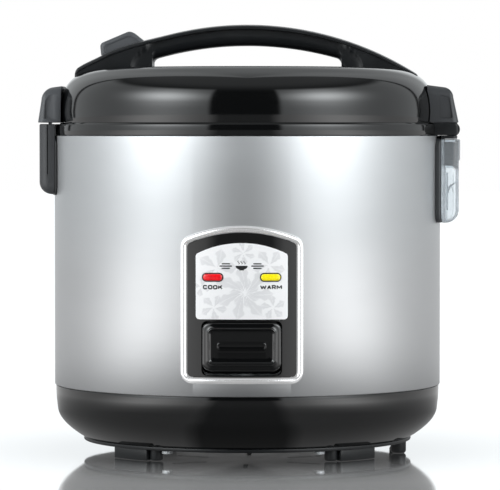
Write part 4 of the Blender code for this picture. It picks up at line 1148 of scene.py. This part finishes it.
def make_label():
    """The label as a fine bent grid. Its soft print is held as a value at each point."""
    half, low, high, crown, corner = 0.0280, 0.0912, 0.1381, 0.0600, 0.0022
    columns, rows = 150, 126
    outline = arch_loop(half, low, high, crown, corner)
    top_of = sorted((u, z) for u, z in outline if z > (low + high) / 2)
    bottom_of = sorted((u, z) for u, z in outline if z <= (low + high) / 2)

    def edge(line, u):
        for (u0, z0), (u1, z1) in zip(line, line[1:]):
            if u0 <= u <= u1 and u1 > u0:
                return z0 + (z1 - z0) * (u - u0) / (u1 - u0)
        return line[0][1] if u < line[0][0] else line[-1][1]

    bm = bmesh.new()
    store = bm.verts.layers.float.new("print")
    front, back = [], []
    for i in range(columns + 1):
        u = half * math.sin(math.pi * (i / columns - 0.5)) * 0.9999
        foot, head = edge(bottom_of, u), edge(top_of, u)
        line, behind = [], []
        for k in range(rows + 1):
            z = foot + (head - foot) * k / rows
            vert = bm.verts.new(bend(u, z, LABEL_FACE))
            vert[store] = max(petal_ink(u, z, *blossom) for blossom in BLOSSOMS)
            line.append(vert)
            on_edge = k in (0, rows) or i in (0, columns)
            behind.append(bm.verts.new(bend(u, z, LABEL_BACK)) if on_edge else None)
        front.append(line)
        back.append(behind)
    for i in range(columns):
        for k in range(rows):
            bm.faces.new((front[i][k], front[i + 1][k], front[i + 1][k + 1], front[i][k + 1]))
        for k in (0, rows):
            bm.faces.new((front[i][k], back[i][k], back[i + 1][k], front[i + 1][k]))
        bm.faces.new((back[i][0], back[i][rows], back[i + 1][rows], back[i + 1][0]))
    for i in (0, columns):
        for k in range(rows):
            bm.faces.new((front[i][k], front[i][k + 1], back[i][k + 1], back[i][k]))
    piece("label_film", bm, LABEL, "body", "panel_label", sharp=60.0)


def make_lenses():
    """The lamp lenses in their dark printed outlines."""
    for node, slot in (("cook_lens", "red_lens"), ("warm_lens", "amber_lens")):
        low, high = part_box(node)
        centre = (low + high) / 2
        u = BODY_R * math.atan2(centre.x, -centre.y)
        half, z0, z1 = 0.0058, low.z, high.z

        def outline(inset):
            return rect_loop(half - inset, z0 + inset, z1 - inset, (z1 - z0) / 2 - inset - 0.00005, across=6)

        shell = stepped(outline, [(0.0, 0.0026), (0.0, 0.0030), (0.0003, 0.0033), (0.0009, 0.0035)])
        piece(node + "_fine", bent_loops(shell, shift=u), MATERIALS[slot], "body", node)
        rim_out, rim_in, rim_low, rim_high = -0.00075, -0.0001, 0.00235, 0.00262
        rim = stepped(outline, [(rim_out, rim_low), (rim_out, rim_high), (rim_in, rim_high),
                                (rim_in, rim_low)])
        piece(node + "_outline", bent_loops(rim, shift=u, fill=False), INK, "body", slot="silver_label")


ROUND_C = [(0.98, 0.78), (0.80, 1.0), (0.20, 1.0), (0.0, 0.80), (0.0, 0.20), (0.20, 0.0), (0.80, 0.0),
           (0.98, 0.22)]
ROUND_O = [(0.20, 0.0), (0.80, 0.0), (1.0, 0.20), (1.0, 0.80), (0.80, 1.0), (0.20, 1.0), (0.0, 0.80),
           (0.0, 0.20), (0.20, 0.0)]
BOWED_R = [(0.0, 0.0), (0.0, 1.0), (0.78, 1.0), (0.95, 0.85), (0.95, 0.62), (0.78, 0.47), (0.0, 0.47)]


def zigzag(*points):
    """Separate strokes from each point to the next."""
    return [list(pair) for pair in zip(points, points[1:])]


LETTERS = {
    # strokes of a wide block letter in a box of 1 x 1, as lists of points
    "C": [ROUND_C],
    "O": [ROUND_O],
    "K": [[(0.0, 0.0), (0.0, 1.0)], [(0.95, 1.0), (0.12, 0.46)], [(0.42, 0.62), (1.0, 0.0)]],
    "W": zigzag((0.0, 1.0), (0.25, 0.0), (0.50, 0.85), (0.75, 0.0), (1.0, 1.0)),
    "A": zigzag((0.0, 0.0), (0.5, 1.0), (1.0, 0.0)) + [[(0.20, 0.32), (0.80, 0.32)]],
    "R": [BOWED_R, [(0.50, 0.47), (1.0, 0.0)]],
    "M": zigzag((0.0, 0.0), (0.0, 1.0), (0.5, 0.25), (1.0, 1.0), (1.0, 0.0)),
}
WIDE_LETTERS = {"W": 1.45, "M": 1.25}


def stroke(points, thick):
    """A flat band of even width along a line of points, mitred at its bends."""
    places = [Vector(p) for p in points]
    ring = places[0] == places[-1]
    left, right = [], []
    for i, here in enumerate(places):
        before = places[i - 1] if i else (places[-2] if ring else None)
        after = places[i + 1] if i + 1 < len(places) else (places[1] if ring else None)
        ways = [(here - before).normalized()] if before is not None else []
        ways += [(after - here).normalized()] if after is not None else []
        way = sum(ways, Vector((0.0, 0.0))).normalized()
        side = Vector((-way.y, way.x))
        reach = thick / 2 / max(side.dot(Vector((-ways[0].y, ways[0].x))), 0.5)
        left.append(here + side * reach)
        right.append(here - side * reach)
    return left, right


def printed_word(name, word, width, height, thick, u, z):
    """A generic caption in wide block letters, as raised ink."""
    bm = bmesh.new()
    shares = [WIDE_LETTERS.get(letter, 1.0) for letter in word]
    left_edge = u - width / 2
    for letter, share in zip(word, shares):
        pitch = width * share / sum(shares)
        box = (pitch - thick * 1.5, height - thick)
        origin = (left_edge + thick * 0.75, z - box[1] / 2)
        left_edge += pitch
        for line in LETTERS[letter]:
            left, right = stroke([(origin[0] + a * box[0], origin[1] + b * box[1]) for a, b in line], thick)
            grid = [[bm.verts.new(bend(*place, h)) for place in side] for side, h in
                    ((left, INK_BACK), (left, INK_FACE), (right, INK_FACE), (right, INK_BACK))]
            for a, b in zip(grid, grid[1:] + grid[:1]):
                for i in range(len(left) - 1):
                    bm.faces.new((a[i], a[i + 1], b[i + 1], b[i]))
            for end in (0, -1):
                bm.faces.new([side[end] for side in grid])
    piece(name, bm, INK, "body", slot="silver_label")


def flat_shape(name, outline, u=0.0, z=0.0):
    """A printed shape from an outline in (u, z)."""
    rings = [[bend(u + a, z + b, h) for a, b in outline] for h in (INK_BACK, INK_FACE)]
    piece(name, loft(rings), INK, "body", slot="silver_label")


def make_print():
    """The two captions, and a plain ornament: a rice bowl under three wisps of steam between two bars."""
    printed_word("caption_cook", "COOK", 0.0124, 0.0027, 0.00074, -0.0175, 0.1110)
    printed_word("caption_warm", "WARM", 0.0136, 0.0027, 0.00066, 0.0178, 0.1110)
    wide, rim = 0.0036, 0.0022
    bowl = [(-wide, rim)] + arc((0, rim), wide, 180, 360, 20) + [(wide, rim + 0.0004), (-wide, rim + 0.0004)]
    flat_shape("mark_bowl", [(a, b * 0.62) for a, b in bowl], z=0.1226)
    foot = [(-0.0015, -0.0013), (0.0015, -0.0013), (0.0012, -0.0006), (-0.0012, -0.0006)]
    flat_shape("mark_foot", foot, z=0.1227)
    for i, offset in enumerate((-0.0018, 0.0, 0.0018)):
        left, right = [], []
        for k in range(13):
            t = k / 12
            sway = 0.00045 * math.sin(t * math.tau)
            thick = 0.00026 * math.sin(math.pi * (0.12 + 0.76 * t))
            left.append((offset + sway - thick, 0.0022 + 0.0024 * t))
            right.append((offset + sway + thick, 0.0022 + 0.0024 * t))
        flat_shape(f"mark_steam_{i + 1}", right + left[::-1], z=0.1228)
    bars = ((0.0058, 0.0134, 0.0), (0.0070, 0.0120, 0.0014), (0.0070, 0.0120, -0.0014))
    for i, side in enumerate((-1, 1)):
        for k, (start, end, height) in enumerate(bars):
            low, high = sorted((side * start, side * end))
            bar = fillet(rect(low, height - 0.00038, high, height + 0.00038), 0.00034)
            flat_shape(f"mark_bar_{i * 3 + k + 1}", bar, z=0.1240)


def make_paddle():
    """The cook paddle: a flange behind it, a soft rim, a stepped dish and a raised bar."""
    def outline(inset):
        return rect_loop(PADDLE_HALF - inset, PADDLE_LOW + inset, PADDLE_HIGH - inset,
                         max(0.0046 - inset * 0.45, 0.0012))

    loops = stepped(outline, [
        (-0.0024, -0.0072), (-0.0024, -0.0064), (0.0, -0.0062), (0.0, 0.0024), (0.0003, 0.0030),
        (0.0008, 0.0033), (0.0018, 0.0035), (0.0032, 0.0034), (0.0035, 0.0038), (0.0038, 0.0041),
        (0.0041, 0.0042), (0.0044, 0.0041), (0.0047, 0.0037), (0.0050, 0.0031), (0.0060, 0.0029)])
    for half, low, high, corner, height in (
            (0.0172, 0.0674, 0.0806, 0.0026, 0.0029), (0.0158, 0.0708, 0.0785, 0.0024, 0.0027),
            (0.0150, 0.0718, 0.0775, 0.0022, 0.0027), (0.0148, 0.0721, 0.0772, 0.0021, 0.0034),
            (0.0146, 0.0723, 0.0770, 0.0020, 0.0037), (0.0142, 0.0727, 0.0766, 0.0017, 0.0038),
            (0.0139, 0.0730, 0.0763, 0.0014, 0.0036), (0.0136, 0.0733, 0.0760, 0.0012, 0.0035)):
        loops.append((rect_loop(half, low, high, corner), height))
    piece("paddle", bent_loops(loops), GLOSS, "switch", "switch_paddle", sharp=60.0)


# Studio

def make_world():
    """Studio light as a sky: two tall soft boxes with hot middles, a dark gap at the front and a ceiling."""
    world = bpy.data.worlds.new("studio")
    bpy.context.scene.world = world
    world.use_nodes = True
    g = Graph(world.node_tree)
    g.nodes.clear()
    x, y, z = g.split(g.nodes.new("ShaderNodeTexCoord").outputs["Generated"])
    around = g.around(x, y)
    up = g.calc("MULTIPLY", g.calc("ARCSINE", z), DEGREES)
    sides = g.calc("MULTIPLY", g.step(around, BOX_NEAR), g.step(around, BOX_FAR, 1.0, 0.0))
    boxes = g.calc("MULTIPLY", sides, g.step(up, BOX_TOP, 1.0, 0.0))
    height = g.calc("MULTIPLY_ADD", g.bell(up, *HOT_UP), BOX_HOT, BOX_MIDDLE)
    hot = g.calc("MULTIPLY", g.bell(around, *HOT_AROUND), height)
    box_light = g.calc("MULTIPLY", boxes, g.calc("ADD", hot, BOX_GLOW))
    back = g.calc("ADD", g.step(around, BACK_FROM, 0.0, BACK_GLOW), g.step(around, REAR_FROM, 0.0, REAR_GLOW))
    ceiling = g.step(up, CEILING_FROM, 0.0, CEILING_GLOW)
    sweep = g.calc("MULTIPLY", g.step(around, SWEEP_FROM), g.step(up, SWEEP_TOP, SWEEP_GLOW, 0.0))
    total = g.calc("ADD", g.calc("ADD", box_light, back), g.calc("ADD", ceiling, sweep))
    swap = g.nodes.new("ShaderNodeMixShader")
    g.link(g.camera_ray(), swap.inputs["Fac"])
    # The camera sees a plain white sky, and everything else the studio
    for color, strength, socket in (((0.95, 0.985, 1.0), g.calc("ADD", total, GAP_GLOW), swap.inputs[1]),
                                    (WHITE, 1.0, swap.inputs[2])):
        light = g.nodes.new("ShaderNodeBackground")
        g.put(color, light.inputs["Color"])
        g.put(strength, light.inputs["Strength"])
        g.link(light.outputs["Background"], socket)
    out = g.nodes.new("ShaderNodeOutputWorld")
    g.link(swap.outputs["Shader"], out.inputs["Surface"])


def make_floor():
    """A pale glossy table top that runs out of sight.

    To the camera it is a coated surface that mirrors the object, dark close to the object and pale further
    out, with painted light
    added further out: a painted contact shadow. To other rays it is dark and matt and sends up the soft
    boxes' light, most from the far floor under their hot middles.
    """
    bm = bmesh.new()
    bmesh.ops.create_circle(bm, cap_ends=True, segments=96, radius=9.0)
    floor = piece("floor", bm, None, None)
    s = Shader("floor", (0.90, 0.90, 0.90), roughness=0.07, ior=1.5, coat_weight=1.0, coat_roughness=0.05)
    s.roughness(s.noise(30.0), 0.05, 0.08)
    seen = s.camera_ray()
    x, y, _ = s.split(s.coords)
    around = s.around(x, y)
    away = s.calc("SQRT", s.calc("MULTIPLY_ADD", x, x, s.calc("MULTIPLY", y, y)))
    hot = s.calc("MULTIPLY_ADD", s.bell(around, *FLOOR_HOT_AROUND), FLOOR_HOT, FLOOR_GLOW)
    fill = s.calc("MULTIPLY_ADD", s.range(away, 0.24, 0.50), hot, FLOOR_FILL)
    fill = s.calc("MULTIPLY", fill, s.range(around, 15.0, 22.0, 0.15, 1.0))
    # painted light on the floor the camera sees, growing away from the object, so that close by it reads as
    # painted shadow
    painted_light_far = s.calc("MULTIPLY", seen, s.range(away, 0.115, 0.230, 0.0, FLOOR_SEEN))
    s.glow(s.calc("MULTIPLY_ADD", fill, s.range(seen, 0.0, 1.0, 1.0, 0.0), painted_light_far))
    # painted contact shadow: the floor's colour darkens close to the object
    painted_shadow_tone = s.mix(s.range(away, 0.105, 0.200), (0.14, 0.14, 0.14), (0.85, 0.85, 0.85))
    s.link(s.mix(seen, (0.10, 0.10, 0.10), painted_shadow_tone), s.inputs["Base Color"])
    s.link(seen, s.inputs["Coat Weight"])
    s.link(s.range(seen, 0.0, 1.0, 0.0, 0.5), s.inputs["Specular IOR Level"])
    floor.data.materials.append(s.material)
    floor.location.z = -0.0002


def make_camera():
    """The camera stands a little right of the panel, just above the parting line, and looks slightly down."""
    swing, pan, pitch = (math.radians(a) for a in (CAMERA_SWING, CAMERA_PAN, CAMERA_PITCH))
    data = bpy.data.cameras.new("camera")
    data.lens = CAMERA_LENS
    data.sensor_width = CAMERA_SENSOR
    camera = bpy.data.objects.new("camera", data)
    camera.location = (CAMERA_DISTANCE * math.sin(swing), -CAMERA_DISTANCE * math.cos(swing), CAMERA_HEIGHT)
    camera.rotation_euler = (math.pi / 2 - pitch, 0.0, swing - pan)
    bpy.context.scene.collection.objects.link(camera)
    bpy.context.scene.camera = camera


def main():
    paint_cad_nodes()
    make_camera()
    make_floor()
    make_world()
    make_jacket()
    make_base()
    make_bottom()
    make_ring()
    make_inlet()
    make_pot()
    make_lid_inside()
    make_lid()
    make_vent()
    make_handle()
    make_button()
    make_latch_blocks()
    make_hinge_blocks()
    make_dew_cup()
    make_panel()
    make_label()
    make_lenses()
    make_print()
    make_paddle()
    bpy.context.scene.view_settings.view_transform = "Standard"


main()
